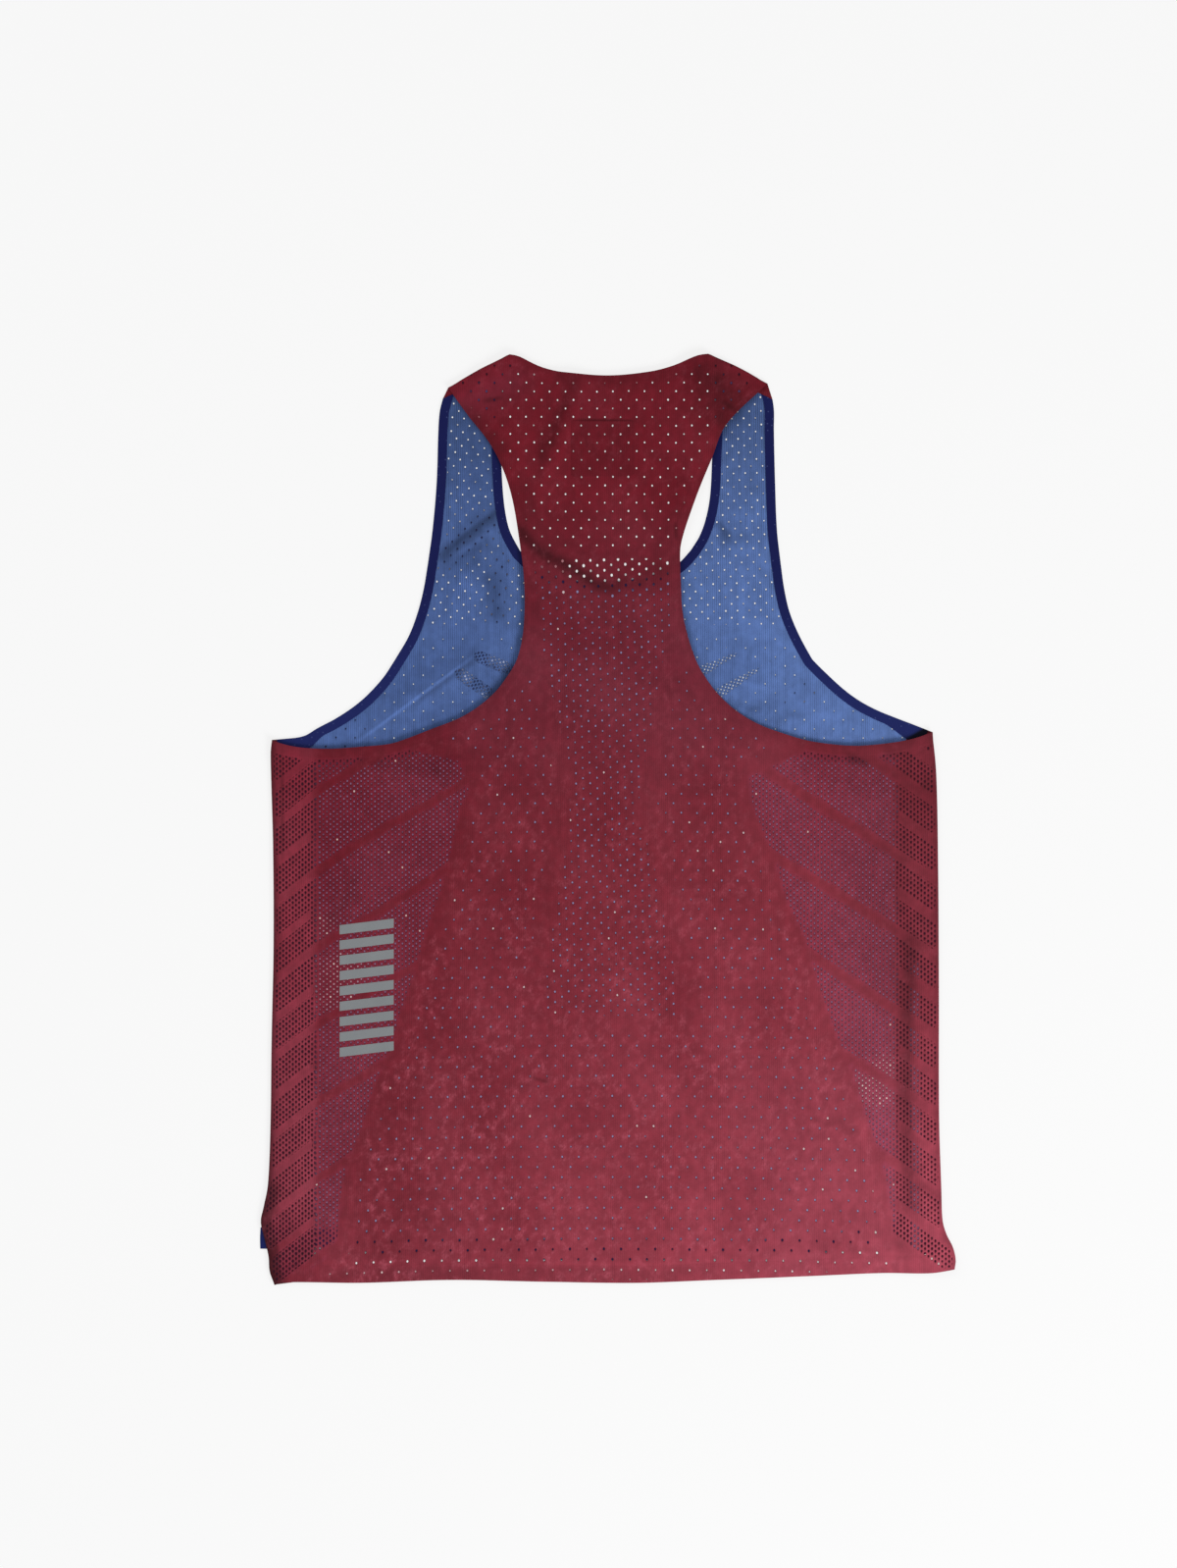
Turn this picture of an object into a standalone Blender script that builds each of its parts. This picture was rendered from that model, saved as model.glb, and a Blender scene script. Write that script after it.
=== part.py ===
"""Running singlet with a racer back, laid flat on a surface with its back up.

Metres, +Z up. The cloth lies in the XY plane with the neck towards +Y and the hem towards -Y,
and its underside rests on Z = 0. The tables below are in millimetres.

The front panel lies on the surface. The back panel covers it, and runs round both sides and
over both shoulders to seams that sit a little way in on the front. Bonded tapes lie on the
inner faces along the armholes, the necklines and the front hem. Every piece is a cloth wall
of CLOTH millimetres, CLEAR millimetres from its neighbours.
"""

from __future__ import annotations

from typing import Callable, NamedTuple, Sequence

import bpy
import numpy as np

# Driving sizes in millimetres.
CLOTH = 1.0
CLEAR = 0.3
LAYER = CLOTH + CLEAR
TAPE_WIDTH = 7.0
HEM_TAPE_WIDTH = 15.0
HEM_BAND_WIDTH = 12.5
TAPE_END = 1.0
SIDE_SEAM_LEFT = -220.5
SIDE_SEAM_RIGHT = 217.5
SIDE_PUFF = 1.3
SIDE_PUFF_REACH = 14.0
LABEL_CENTRE = (-4.0, 280.5)
LABEL_SIZE = (47.0, 42.0)
FOLD_STEPS = 4
PATH_STEPS = 24
MILLIMETRE = 0.001

# How far to each side of its line a covered tape or the label lifts the back panel, and the
# length over which the panel settles again.
FRONT_TAPE_REACH = 17.0
HEM_TAPE_REACH = 15.0
BACK_TAPE_REACH = 10.0
LABEL_REACH = 30.0
SETTLE = 12.0
SLACK = 0.1

# How far the front panel stays flat beside its own taped edges and the back panel's.
FRONT_EDGE_FLAT = 14.0
BACK_EDGE_FLAT = 4.0

# The length of side seam, below the underarm, over which it rises to the front armhole.
SEAM_RISE = 40.0


class Point(NamedTuple):
    """A place on the surface, in millimetres."""

    x: float
    y: float


class Crease(NamedTuple):
    """A soft ridge from one place to another, with its half width and height."""

    x0: float
    y0: float
    x1: float
    y1: float
    width: float
    height: float


class Sheet(NamedTuple):
    """A grid of cloth: its outer and inner points, row by row."""

    outer: np.ndarray
    inner: np.ndarray


# The folded left side, from the hem corner to the underarm.
LEFT_SIDE = (
    Point(-252.4, -352.4),
    Point(-256.1, -342.0),
    Point(-256.9, -330.8),
    Point(-259.9, -317.5),
    Point(-262.8, -304.8),
    Point(-260.6, -293.7),
    Point(-257.4, -277.0),
    Point(-255.5, -235.0),
    Point(-254.6, -167.4),
    Point(-253.1, -95.0),
    Point(-253.5, -20.0),
    Point(-255.3, 50.0),
    Point(-254.2, 60.0),
)

# The folded right side, from the flared hem corner to the underarm.
RIGHT_SIDE = (
    Point(262.5, -340.5),
    Point(263.3, -333.0),
    Point(261.1, -323.4),
    Point(256.6, -314.5),
    Point(253.6, -304.0),
    Point(252.6, -280.0),
    Point(250.9, -225.0),
    Point(250.7, -122.8),
    Point(250.1, -30.0),
    Point(248.8, 33.3),
    Point(245.9, 66.0),
)

# The back hem, left to right.
BACK_HEM = (
    Point(-252.4, -352.4),
    Point(-244.0, -350.4),
    Point(-187.0, -350.9),
    Point(-120.0, -348.7),
    Point(-45.0, -350.1),
    Point(21.0, -350.9),
    Point(80.5, -348.7),
    Point(154.8, -345.7),
    Point(207.0, -343.5),
    Point(244.0, -343.5),
    Point(262.5, -340.5),
)

# The front hem, left to right, between the side seams.
FRONT_HEM = (
    Point(SIDE_SEAM_LEFT + CLEAR, -325.4),
    Point(-163.0, -330.0),
    Point(-80.0, -333.0),
    Point(-8.0, -334.3),
    Point(108.0, -333.6),
    Point(156.0, -330.0),
    Point(191.0, -325.6),
    Point(SIDE_SEAM_RIGHT - CLEAR, -320.6),
)

# The back armholes, from the underarm to the foot of the racer back.
BACK_UNDERARM_LEFT = (
    Point(-254.2, 60.0),
    Point(-246.4, 57.0),
    Point(-231.6, 54.1),
    Point(-209.0, 53.3),
    Point(-187.0, 54.8),
    Point(-164.7, 57.0),
    Point(-149.8, 61.8),
    Point(-135.5, 67.4),
    Point(-112.7, 76.3),
    Point(-97.8, 85.3),
    Point(-84.0, 97.5),
    Point(-73.3, 112.0),
)
BACK_UNDERARM_RIGHT = (
    Point(70.8, 112.0),
    Point(80.5, 98.0),
    Point(93.1, 85.3),
    Point(105.8, 76.3),
    Point(119.1, 69.7),
    Point(134.0, 64.5),
    Point(148.9, 60.0),
    Point(163.7, 57.4),
    Point(186.0, 55.5),
    Point(208.3, 57.0),
    Point(230.6, 60.7),
    Point(245.9, 66.0),
)

# The back armholes, from the foot of the racer back to the shoulder tips.
RACER_LEFT = (
    Point(-73.3, 112.0),
    Point(-68.6, 121.0),
    Point(-64.4, 138.8),
    Point(-62.9, 162.0),
    Point(-63.8, 187.0),
    Point(-66.8, 210.0),
    Point(-71.1, 236.8),
    Point(-75.8, 255.0),
    Point(-82.5, 272.0),
    Point(-91.5, 287.5),
    Point(-104.5, 303.7),
    Point(-120.9, 326.5),
)
RACER_RIGHT = (
    Point(70.8, 112.0),
    Point(66.4, 120.9),
    Point(60.4, 138.8),
    Point(56.6, 156.6),
    Point(55.3, 177.0),
    Point(54.8, 204.0),
    Point(56.8, 214.0),
    Point(61.4, 228.5),
    Point(70.0, 252.0),
    Point(79.0, 273.6),
    Point(87.2, 294.8),
    Point(98.5, 308.5),
    Point(121.0, 329.5),
)

# The shoulder folds from tip to neck, and the back neckline between them.
SHOULDER_LEFT = (Point(-120.9, 326.5), Point(-97.5, 340.2), Point(-74.0, 351.8))
SHOULDER_RIGHT = (Point(75.6, 352.2), Point(98.5, 342.2), Point(121.0, 329.5))
BACK_NECK = (
    Point(-74.0, 351.8),
    Point(-66.6, 349.8),
    Point(-57.7, 345.3),
    Point(-48.8, 341.6),
    Point(-35.0, 338.4),
    Point(0.0, 335.7),
    Point(31.5, 338.6),
    Point(49.3, 343.1),
    Point(67.1, 350.5),
    Point(75.6, 352.2),
)

# The seams that join the front straps to the back, a little way down on the front.
FRONT_SEAM_LEFT = (Point(-124.9, 318.3), Point(-78.5, 338.8))
FRONT_SEAM_RIGHT = (Point(79.5, 339.5), Point(124.8, 317.6))

# The front armholes, from the side seams to the strap feet and on to the shoulders.
FRONT_UNDERARM_LEFT = (
    Point(SIDE_SEAM_LEFT + CLEAR, 69.0),
    Point(-206.3, 76.3),
    Point(-192.2, 85.3),
    Point(-181.8, 94.2),
    Point(-169.8, 107.5),
    Point(-161.0, 120.9),
)
FRONT_UNDERARM_RIGHT = (
    Point(154.8, 120.9),
    Point(163.7, 112.0),
    Point(178.0, 98.8),
    Point(190.5, 89.6),
    Point(204.0, 82.4),
    Point(SIDE_SEAM_RIGHT - CLEAR, 77.0),
)
FRONT_CHEST_LEFT = (
    Point(-161.0, 120.9),
    Point(-150.6, 138.8),
    Point(-143.9, 156.6),
    Point(-139.4, 174.4),
    Point(-136.3, 193.0),
)
FRONT_CHEST_RIGHT = (
    Point(154.8, 120.9),
    Point(145.1, 138.8),
    Point(137.7, 156.6),
    Point(133.6, 174.4),
    Point(131.0, 193.0),
)
FRONT_STRAP_LEFT = (
    Point(-136.3, 193.0),
    Point(-132.7, 219.0),
    Point(-129.6, 255.0),
    Point(-128.3, 294.8),
    Point(-127.2, 309.0),
    Point(-124.9, 318.3),
)
FRONT_STRAP_RIGHT = (
    Point(131.0, 193.0),
    Point(128.1, 219.0),
    Point(126.7, 255.0),
    Point(125.8, 294.8),
    Point(125.9, 309.0),
    Point(124.8, 317.6),
)

# The front neckline: the inner edge of each strap, and the curve that joins their feet.
FRONT_NECK_LEFT = (
    Point(-66.4, 203.0),
    Point(-74.0, 217.5),
    Point(-77.4, 230.9),
    Point(-79.6, 250.0),
    Point(-80.7, 275.0),
    Point(-81.0, 305.0),
    Point(-78.5, 338.8),
)
FRONT_NECK_RIGHT = (
    Point(63.0, 203.7),
    Point(69.7, 214.6),
    Point(74.6, 228.7),
    Point(77.6, 246.0),
    Point(79.0, 273.6),
    Point(80.2, 305.0),
    Point(79.5, 339.5),
)
FRONT_NECK_CURVE = (
    Point(-66.4, 203.0),
    Point(-55.5, 192.6),
    Point(-43.0, 186.4),
    Point(-25.0, 182.0),
    Point(-4.2, 179.4),
    Point(22.5, 181.6),
    Point(42.0, 187.2),
    Point(54.0, 194.0),
    Point(63.0, 203.7),
)

# The largest soft folds of the back panel and of the front panel where it shows.
BACK_CREASES = (
    Crease(-22.0, 332.0, -60.0, 238.0, 10.0, 2.4),
    Crease(70.0, 330.0, 101.0, 310.0, 9.0, 2.6),
    Crease(-100.0, 330.0, -72.0, 296.0, 10.0, 2.0),
    Crease(-210.0, 28.0, -110.0, 40.0, 13.0, 2.6),
    Crease(-150.0, 5.0, -60.0, 66.0, 16.0, 1.8),
    Crease(96.0, 52.0, 196.0, 20.0, 15.0, 2.0),
    Crease(56.0, 140.0, 70.0, 60.0, 13.0, 1.8),
    Crease(-54.0, 150.0, -70.0, 72.0, 13.0, 1.6),
    Crease(-205.0, -60.0, -160.0, -150.0, 18.0, 1.6),
    Crease(-60.0, -60.0, 60.0, -150.0, 22.0, 1.5),
    Crease(120.0, -150.0, 205.0, -265.0, 18.0, 2.2),
    Crease(-170.0, -230.0, -40.0, -268.0, 20.0, 1.7),
    Crease(10.0, -292.0, 165.0, -276.0, 14.0, 1.8),
    Crease(226.0, -318.0, 258.0, -336.0, 13.0, 3.6),
    Crease(-232.0, -250.0, -247.0, -318.0, 12.0, 3.0),
)
FRONT_CREASES = (
    Crease(-86.0, 234.0, -123.0, 206.0, 7.0, 3.0),
    Crease(-100.0, 122.0, -160.0, 88.0, 7.0, 2.4),
    Crease(-122.0, 168.0, -100.0, 190.0, 8.0, 1.8),
    Crease(92.0, 172.0, 120.0, 132.0, 9.0, 1.9),
    Crease(112.0, 226.0, 90.0, 238.0, 8.0, 1.6),
    Crease(142.0, 112.0, 168.0, 84.0, 8.0, 1.6),
)

# How far each grid line lies from the panel's edge or hem, in millimetres or as a share.
BACK_ROWS_ABOVE_HEM = (0.0, 7.0, 14.0, 21.0, 29.0, 39.0, 50.0)
BACK_ROW_STEP = 19.0
EDGE_ROW = 7.0
UNDERARM_COLUMNS = 9
RACER_SIDE_SHARES = (0.0, 0.062, 0.125, 0.2, 0.28)
RACER_COLUMNS = 8
RACER_LENGTH = 226.0
SHOULDER_SHARES = (0.0, 0.19, 0.42, 0.7, 1.0)
RACER_ROW_STEP = 13.5
FRONT_BODY_LENGTH = 394.0
FRONT_TAPE_ROW = 9.5
FRONT_ROW_STEP = 27.0
FRONT_UNDERARM_COLUMNS = 5
FRONT_NECK_COLUMNS = 10
STRAP_SHARES = (0.0, 0.12, 0.37, 0.63, 0.88, 1.0)
STRAP_FOOT_SHARE = 0.27
STRAP_ROWS = 11
CHEST_ROWS = 5
CHEST_EDGE_SHARE = 0.1

MAROON = (0.19, 0.030, 0.047, 1.0)
BLUE = (0.075, 0.125, 0.33, 1.0)
NAVY = (0.010, 0.014, 0.075, 1.0)


def smooth_path(points: Sequence[Point], shares: Sequence[float]) -> np.ndarray:
    """Place points along a smooth curve through the given ones.

    Args:
        points: The places the curve passes through, in order.
        shares: How far along the curve each wanted point lies, from 0 to 1.

    Returns:
        An array of x, y rows, one for each share.
    """
    knots = np.array(points, dtype=float)
    if len(knots) == 2:
        dense = knots
    else:
        padded = np.vstack([2 * knots[0] - knots[1], knots, 2 * knots[-1] - knots[-2]])
        pieces = []
        steps = np.linspace(0.0, 1.0, 12, endpoint=False)[:, None]
        for before, start, end, after in zip(padded, padded[1:], padded[2:], padded[3:]):
            chord = np.linalg.norm(end - start)
            lead = (end - before) * chord / np.linalg.norm(end - before)
            tail = (after - start) * chord / np.linalg.norm(after - start)
            square = steps * steps
            cube = square * steps
            pieces.append(
                start
                + (end - start) * (3 * square - 2 * cube)
                + lead * (steps - 2 * square + cube)
                + tail * (cube - square)
            )
        dense = np.vstack(pieces + [knots[-1:]])
    lengths = np.concatenate([[0.0], np.cumsum(np.linalg.norm(np.diff(dense, axis=0), axis=1))])
    wanted = np.asarray(shares) * lengths[-1]
    return np.column_stack([np.interp(wanted, lengths, dense[:, axis]) for axis in (0, 1)])


def even(count: int) -> np.ndarray:
    """Return the shares of a line cut into equal parts."""
    return np.linspace(0.0, 1.0, count + 1)


def patch(bottom: np.ndarray, top: np.ndarray, left: np.ndarray, right: np.ndarray) -> np.ndarray:
    """Fill four meeting edges with a grid (a Coons patch).

    Args:
        bottom: The first row, left to right.
        top: The last row, left to right.
        left: The first column, bottom to top.
        right: The last column, bottom to top.

    Returns:
        An array of rows, columns and x, y.
    """
    chord = np.linalg.norm(np.diff(left, axis=0), axis=1)
    rise = np.concatenate([[0.0], np.cumsum(chord)]) / chord.sum()
    v = rise[:, None, None]
    widths = np.linalg.norm(np.diff(bottom, axis=0), axis=1)
    u = (np.concatenate([[0.0], np.cumsum(widths)]) / widths.sum())[None, :, None]
    between_rows = (1 - v) * bottom[None] + v * top[None]
    between_columns = (1 - u) * left[:, None] + u * right[:, None]
    corners = (
        (1 - u) * (1 - v) * bottom[0]
        + u * (1 - v) * bottom[-1]
        + (1 - u) * v * top[0]
        + u * v * top[-1]
    )
    return between_rows + between_columns - corners


def distance_to(points: np.ndarray, path: np.ndarray) -> np.ndarray:
    """Return how far each x, y point lies from a line through the path's points."""
    starts = path[:-1]
    runs = path[1:] - starts
    offsets = points[..., None, :] - starts
    along = (offsets * runs).sum(-1) / np.maximum((runs * runs).sum(-1), 1e-9)
    nearest = starts + np.clip(along, 0.0, 1.0)[..., None] * runs
    return np.linalg.norm(points[..., None, :] - nearest, axis=-1).min(-1)


def plateau(distance: np.ndarray, reach: float, ramp: float) -> np.ndarray:
    """Return 1 within reach of a line, falling smoothly to 0 over the ramp."""
    share = np.clip((reach + ramp - distance) / ramp, 0.0, 1.0)
    return share * share * (3 - 2 * share)


def creases_height(points: np.ndarray, creases: Sequence[Crease]) -> np.ndarray:
    """Return the height that soft folds add at each x, y point, never below zero."""
    height = np.zeros(points.shape[:-1])
    for crease in creases:
        path = np.array([(crease.x0, crease.y0), (crease.x1, crease.y1)])
        distance = distance_to(points, path)
        height = np.maximum(height, crease.height * np.exp(-((distance / crease.width) ** 2)))
    return height


def open_edges() -> list[np.ndarray]:
    """Return the back panel's armholes and neckline as fine paths, in order round the panel."""
    fine = even(PATH_STEPS)
    return [
        smooth_path(BACK_UNDERARM_LEFT, fine),
        smooth_path(RACER_LEFT, fine),
        smooth_path(BACK_NECK, fine),
        smooth_path(RACER_RIGHT, fine)[::-1],
        smooth_path(BACK_UNDERARM_RIGHT, fine),
    ]


def under_back(points: np.ndarray) -> np.ndarray:
    """Return which x, y points lie under the back panel."""
    waist = np.array([(RIGHT_SIDE[-1].x, BACK_HEM[0].y), (LEFT_SIDE[-1].x, BACK_HEM[0].y)])
    outline = np.vstack(open_edges() + [waist])
    ahead = np.roll(outline, -1, axis=0)
    level = np.isclose(ahead[:, 1], outline[:, 1])
    outline, ahead = outline[~level], ahead[~level]
    x, y = points[..., 0, None], points[..., 1, None]
    spans = (outline[:, 1] > y) != (ahead[:, 1] > y)
    share = (y - outline[:, 1]) / (ahead[:, 1] - outline[:, 1])
    crossing = outline[:, 0] + share * (ahead[:, 0] - outline[:, 0])
    return np.sum(spans & (x < crossing), axis=-1) % 2 == 1


def edge_distance(points: np.ndarray) -> np.ndarray:
    """Return how far each x, y point lies from the back panel's armholes and neckline."""
    return np.min([distance_to(points, edge) for edge in open_edges()], axis=0)


def front_armhole(left: bool) -> np.ndarray:
    """Return one front armhole as a fine path from the side seam to the shoulder seam."""
    fine = even(PATH_STEPS)
    if left:
        parts = (FRONT_UNDERARM_LEFT, FRONT_CHEST_LEFT, FRONT_STRAP_LEFT)
    else:
        parts = (FRONT_UNDERARM_RIGHT[::-1], FRONT_CHEST_RIGHT, FRONT_STRAP_RIGHT)
    return np.vstack([smooth_path(part, fine)[:-1] for part in parts] + [[parts[-1][-1]]])


def front_neckline() -> np.ndarray:
    """Return the front neckline as a fine path from the left shoulder seam to the right one."""
    fine = even(PATH_STEPS)
    parts = (FRONT_NECK_LEFT[::-1], FRONT_NECK_CURVE, FRONT_NECK_RIGHT)
    return np.vstack([smooth_path(part, fine)[:-1] for part in parts] + [[parts[-1][-1]]])


def front_height(points: np.ndarray) -> np.ndarray:
    """Return the height of the front panel's underside.

    Its folds lie only where it shows, and leave its edges flat under their tapes.
    """
    bare = np.where(under_back(points), 0.0, edge_distance(points))
    covered = plateau(bare, BACK_EDGE_FLAT, SETTLE)
    edges = (front_armhole(True), front_armhole(False), front_neckline())
    distance = np.min([distance_to(points, edge) for edge in edges], axis=0)
    taped = plateau(distance, FRONT_EDGE_FLAT, SETTLE)
    return creases_height(points, FRONT_CREASES) * (1.0 - np.maximum(covered, taped))


def back_height(points: np.ndarray) -> np.ndarray:
    """Return the height of the back panel's outer face above the surface.

    It clears the front panel, and rises over the tapes that lie between the panels, over the
    label, and towards the folded sides.
    """
    fine = even(PATH_STEPS)
    hem = smooth_path(FRONT_HEM, fine) + np.array([0.0, HEM_TAPE_WIDTH / 2])
    label = np.array([LABEL_CENTRE, (LABEL_CENTRE[0], LABEL_CENTRE[1] + 1.0)])
    front_tapes = np.maximum(
        plateau(distance_to(points, front_neckline()), FRONT_TAPE_REACH, SETTLE),
        plateau(distance_to(points, hem), HEM_TAPE_REACH, SETTLE),
    )
    back_tapes = np.maximum(
        plateau(edge_distance(points), BACK_TAPE_REACH, SETTLE),
        plateau(distance_to(points, label), LABEL_REACH, SETTLE),
    )
    left = distance_to(points, smooth_path(LEFT_SIDE, fine))
    right = distance_to(points, smooth_path(RIGHT_SIDE, fine))
    puff = SIDE_PUFF * np.exp(-np.minimum(left, right) / SIDE_PUFF_REACH)
    layers = CLOTH + LAYER + SLACK + LAYER * (front_tapes + back_tapes)
    return layers + puff + creases_height(points, BACK_CREASES)


def raised(flat: np.ndarray, height: np.ndarray | float) -> np.ndarray:
    """Return the x, y grid with a height added as its third value."""
    return np.concatenate([flat, np.broadcast_to(height, flat.shape[:-1])[..., None]], axis=-1)


def top_sheet(flat: np.ndarray) -> Sheet:
    """Return the back panel's upper layer over an x, y grid."""
    height = back_height(flat)
    return Sheet(raised(flat, height), raised(flat, height - CLOTH))


def folded_strip(edge: np.ndarray, seam: np.ndarray, steps: int) -> Sheet:
    """Carry a sheet's edge round a fold and back beneath it.

    Args:
        edge: The upper layer's edge points, x, y, z, which the strip starts from.
        seam: The x, y points where the strip ends under the sheet.
        steps: How many cells the flat part beneath has.

    Returns:
        A sheet with one row for each edge point, and its columns round the fold.
    """
    inward = seam - edge[:, :2]
    inward = inward / np.linalg.norm(inward, axis=1)[:, None]
    radius = edge[:, 2] / 2
    columns_outer, columns_inner = [], []
    for turn in np.linspace(0.0, np.pi, FOLD_STEPS + 1):
        for columns, size in ((columns_outer, radius), (columns_inner, radius - CLOTH)):
            place = edge[:, :2] - inward * (size * np.sin(turn))[:, None]
            columns.append(np.column_stack([place, radius + size * np.cos(turn)]))
    for share in even(steps)[1:]:
        place = edge[:, :2] + (seam - edge[:, :2]) * share
        columns_outer.append(np.column_stack([place, np.zeros(len(place))]))
        columns_inner.append(np.column_stack([place, np.full(len(place), CLOTH)]))
    return Sheet(np.stack(columns_outer, axis=1), np.stack(columns_inner, axis=1))


def fold_edge(line: np.ndarray, seam: np.ndarray) -> np.ndarray:
    """Move a fold's outermost line in by the fold's own radius, and give it its height."""
    inward = seam - line
    inward = inward / np.linalg.norm(inward, axis=1)[:, None]
    height = back_height(line + inward * CLOTH)
    return raised(line + inward * (height / 2)[:, None], height)


def closed_mesh(name: str, sheets: Sequence[Sheet], skip: Callable | None = None) -> bpy.types.Mesh:
    """Join sheets that share edges into one closed wall.

    Args:
        name: The mesh's name.
        sheets: Grids of outer and inner points whose rows climb to the left of their columns.
        skip: A test of sheet, row and column that leaves a cell out.

    Returns:
        A mesh of triangles with its faces pointing out.
    """
    places: dict[tuple[int, int, int], int] = {}
    outer: list[np.ndarray] = []
    inner: list[np.ndarray] = []
    triangles: list[tuple[int, int, int]] = []
    for number, sheet in enumerate(sheets):
        rows, columns = sheet.outer.shape[:2]
        index = np.zeros((rows, columns), dtype=int)
        for row in range(rows):
            for column in range(columns):
                point = sheet.outer[row, column]
                key = tuple(int(value) for value in np.round(point * 100))
                if key not in places:
                    places[key] = len(outer)
                    outer.append(point)
                    inner.append(sheet.inner[row, column])
                index[row, column] = places[key]
        for row in range(rows - 1):
            for column in range(columns - 1):
                if skip is not None and skip(number, row, column):
                    continue
                a, b = index[row, column], index[row, column + 1]
                c, d = index[row + 1, column + 1], index[row + 1, column]
                triangles += [corners for corners in ((a, b, c), (a, c, d)) if len(set(corners)) == 3]
    used = sorted({corner for triangle in triangles for corner in triangle})
    renumber = {old: new for new, old in enumerate(used)}
    triangles = [tuple(renumber[corner] for corner in triangle) for triangle in triangles]
    count = len(used)
    vertices = [outer[old] * MILLIMETRE for old in used] + [inner[old] * MILLIMETRE for old in used]
    faces = [tuple(triangle) for triangle in triangles]
    faces += [(a + count, c + count, b + count) for a, b, c in triangles]
    edges = {(t[i], t[(i + 1) % 3]) for t in triangles for i in range(3)}
    for start, end in sorted(edges):
        if (end, start) not in edges:
            faces += [(end, start, start + count), (end, start + count, end + count)]
    mesh = bpy.data.meshes.new(name)
    mesh.from_pydata([tuple(vertex) for vertex in vertices], [], faces)
    mesh.update()
    return mesh


def lower_sheet(flat: np.ndarray, bottom: np.ndarray) -> Sheet:
    """Return a wall whose upper face is its first side and whose underside is at bottom."""
    return Sheet(raised(flat, bottom + CLOTH), raised(flat, bottom))


def add_piece(name: str, mesh: bpy.types.Mesh, material: bpy.types.Material) -> bpy.types.Object:
    """Put a mesh in the scene as one named piece of cloth."""
    piece = bpy.data.objects.new(name, mesh)
    bpy.context.scene.collection.objects.link(piece)
    mesh.materials.append(material)
    return piece


def cloth_material(name: str, colour: tuple[float, float, float, float]) -> bpy.types.Material:
    """Return a matt cloth of one colour."""
    material = bpy.data.materials.new(name)
    material.use_nodes = True
    shader = material.node_tree.nodes["Principled BSDF"]
    shader.inputs["Base Color"].default_value = colour
    shader.inputs["Roughness"].default_value = 0.72
    shader.inputs["Metallic"].default_value = 0.0
    return material


def back_rows() -> np.ndarray:
    """Return the shares of the back panel's side at which its rows lie."""
    length = LEFT_SIDE[-1].y - LEFT_SIDE[0].y
    free = length - BACK_ROWS_ABOVE_HEM[-1] - EDGE_ROW
    middle = BACK_ROWS_ABOVE_HEM[-1] + free * even(round(free / BACK_ROW_STEP))
    return np.concatenate([BACK_ROWS_ABOVE_HEM[:-1], middle, [length]]) / length


def side_edge(side: Sequence[Point], seam_x: float) -> np.ndarray:
    """Return the plan of the upper layer's edge where it meets a folded side."""
    line = smooth_path(side, back_rows())
    seam = np.column_stack([np.full(len(line), seam_x), line[:, 1]])
    return fold_edge(line, seam)[:, :2]


def back_body_grid() -> np.ndarray:
    """Return the back panel's plan from the hem to the underarms and the racer back's foot."""
    left = side_edge(LEFT_SIDE, SIDE_SEAM_LEFT)
    right = side_edge(RIGHT_SIDE, SIDE_SEAM_RIGHT)
    arm_left = smooth_path(BACK_UNDERARM_LEFT, even(UNDERARM_COLUMNS))
    arm_right = smooth_path(BACK_UNDERARM_RIGHT, even(UNDERARM_COLUMNS))
    top = np.vstack([arm_left[:-1], racer_foot(), arm_right[1:]])
    top[0], top[-1] = left[-1], right[-1]
    bottom = smooth_path(BACK_HEM, even(len(top) - 1))
    bottom[0], bottom[-1] = left[0], right[0]
    return patch(bottom, top, left, right)


def racer_shares() -> np.ndarray:
    """Return where the racer back's columns lie across its foot."""
    side = np.array(RACER_SIDE_SHARES)
    middle = side[-1] + (1 - 2 * side[-1]) * even(RACER_COLUMNS)
    return np.concatenate([side[:-1], middle, 1 - side[-2::-1]])


def racer_foot() -> np.ndarray:
    """Return the line across the foot of the racer back."""
    return smooth_path((RACER_LEFT[0], RACER_RIGHT[0]), racer_shares())


def shoulder_fold(left: bool) -> tuple[np.ndarray, np.ndarray]:
    """Return one shoulder's upper edge, x, y, z, and its seam, x, y, both left to right."""
    shares = np.array(SHOULDER_SHARES)
    if left:
        line = smooth_path(SHOULDER_LEFT, shares)
        seam = smooth_path(FRONT_SEAM_LEFT, shares)
    else:
        line = smooth_path(SHOULDER_RIGHT, 1 - shares[::-1])
        seam = smooth_path(FRONT_SEAM_RIGHT, 1 - shares[::-1])
    return fold_edge(line, seam), seam


def racer_grid() -> np.ndarray:
    """Return the racer back's plan from its foot to the shoulders and the neckline."""
    inside = RACER_LENGTH - EDGE_ROW
    rows = inside * even(round(inside / RACER_ROW_STEP))
    shares = np.concatenate([rows, [RACER_LENGTH]]) / RACER_LENGTH
    left = smooth_path(RACER_LEFT, shares)
    right = smooth_path(RACER_RIGHT, shares)
    shoulder_left = shoulder_fold(True)[0][:, :2]
    shoulder_right = shoulder_fold(False)[0][:, :2]
    neck = smooth_path(BACK_NECK, even(RACER_COLUMNS))
    top = np.vstack([shoulder_left, neck[1:-1], shoulder_right])
    left[-1], right[-1] = top[0], top[-1]
    return patch(racer_foot(), top, left, right)


def side_seam(edge: np.ndarray, seam_x: float, top_y: float) -> np.ndarray:
    """Return a side seam's x, y points, which rise to the front armhole near their top."""
    near_top = np.clip((edge[:, 1] - edge[-1, 1]) / SEAM_RISE + 1.0, 0.0, 1.0) ** 2
    rise = (top_y - CLEAR - edge[-1, 1]) * near_top
    return np.column_stack([np.full(len(edge), seam_x), edge[:, 1] + rise])


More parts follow.
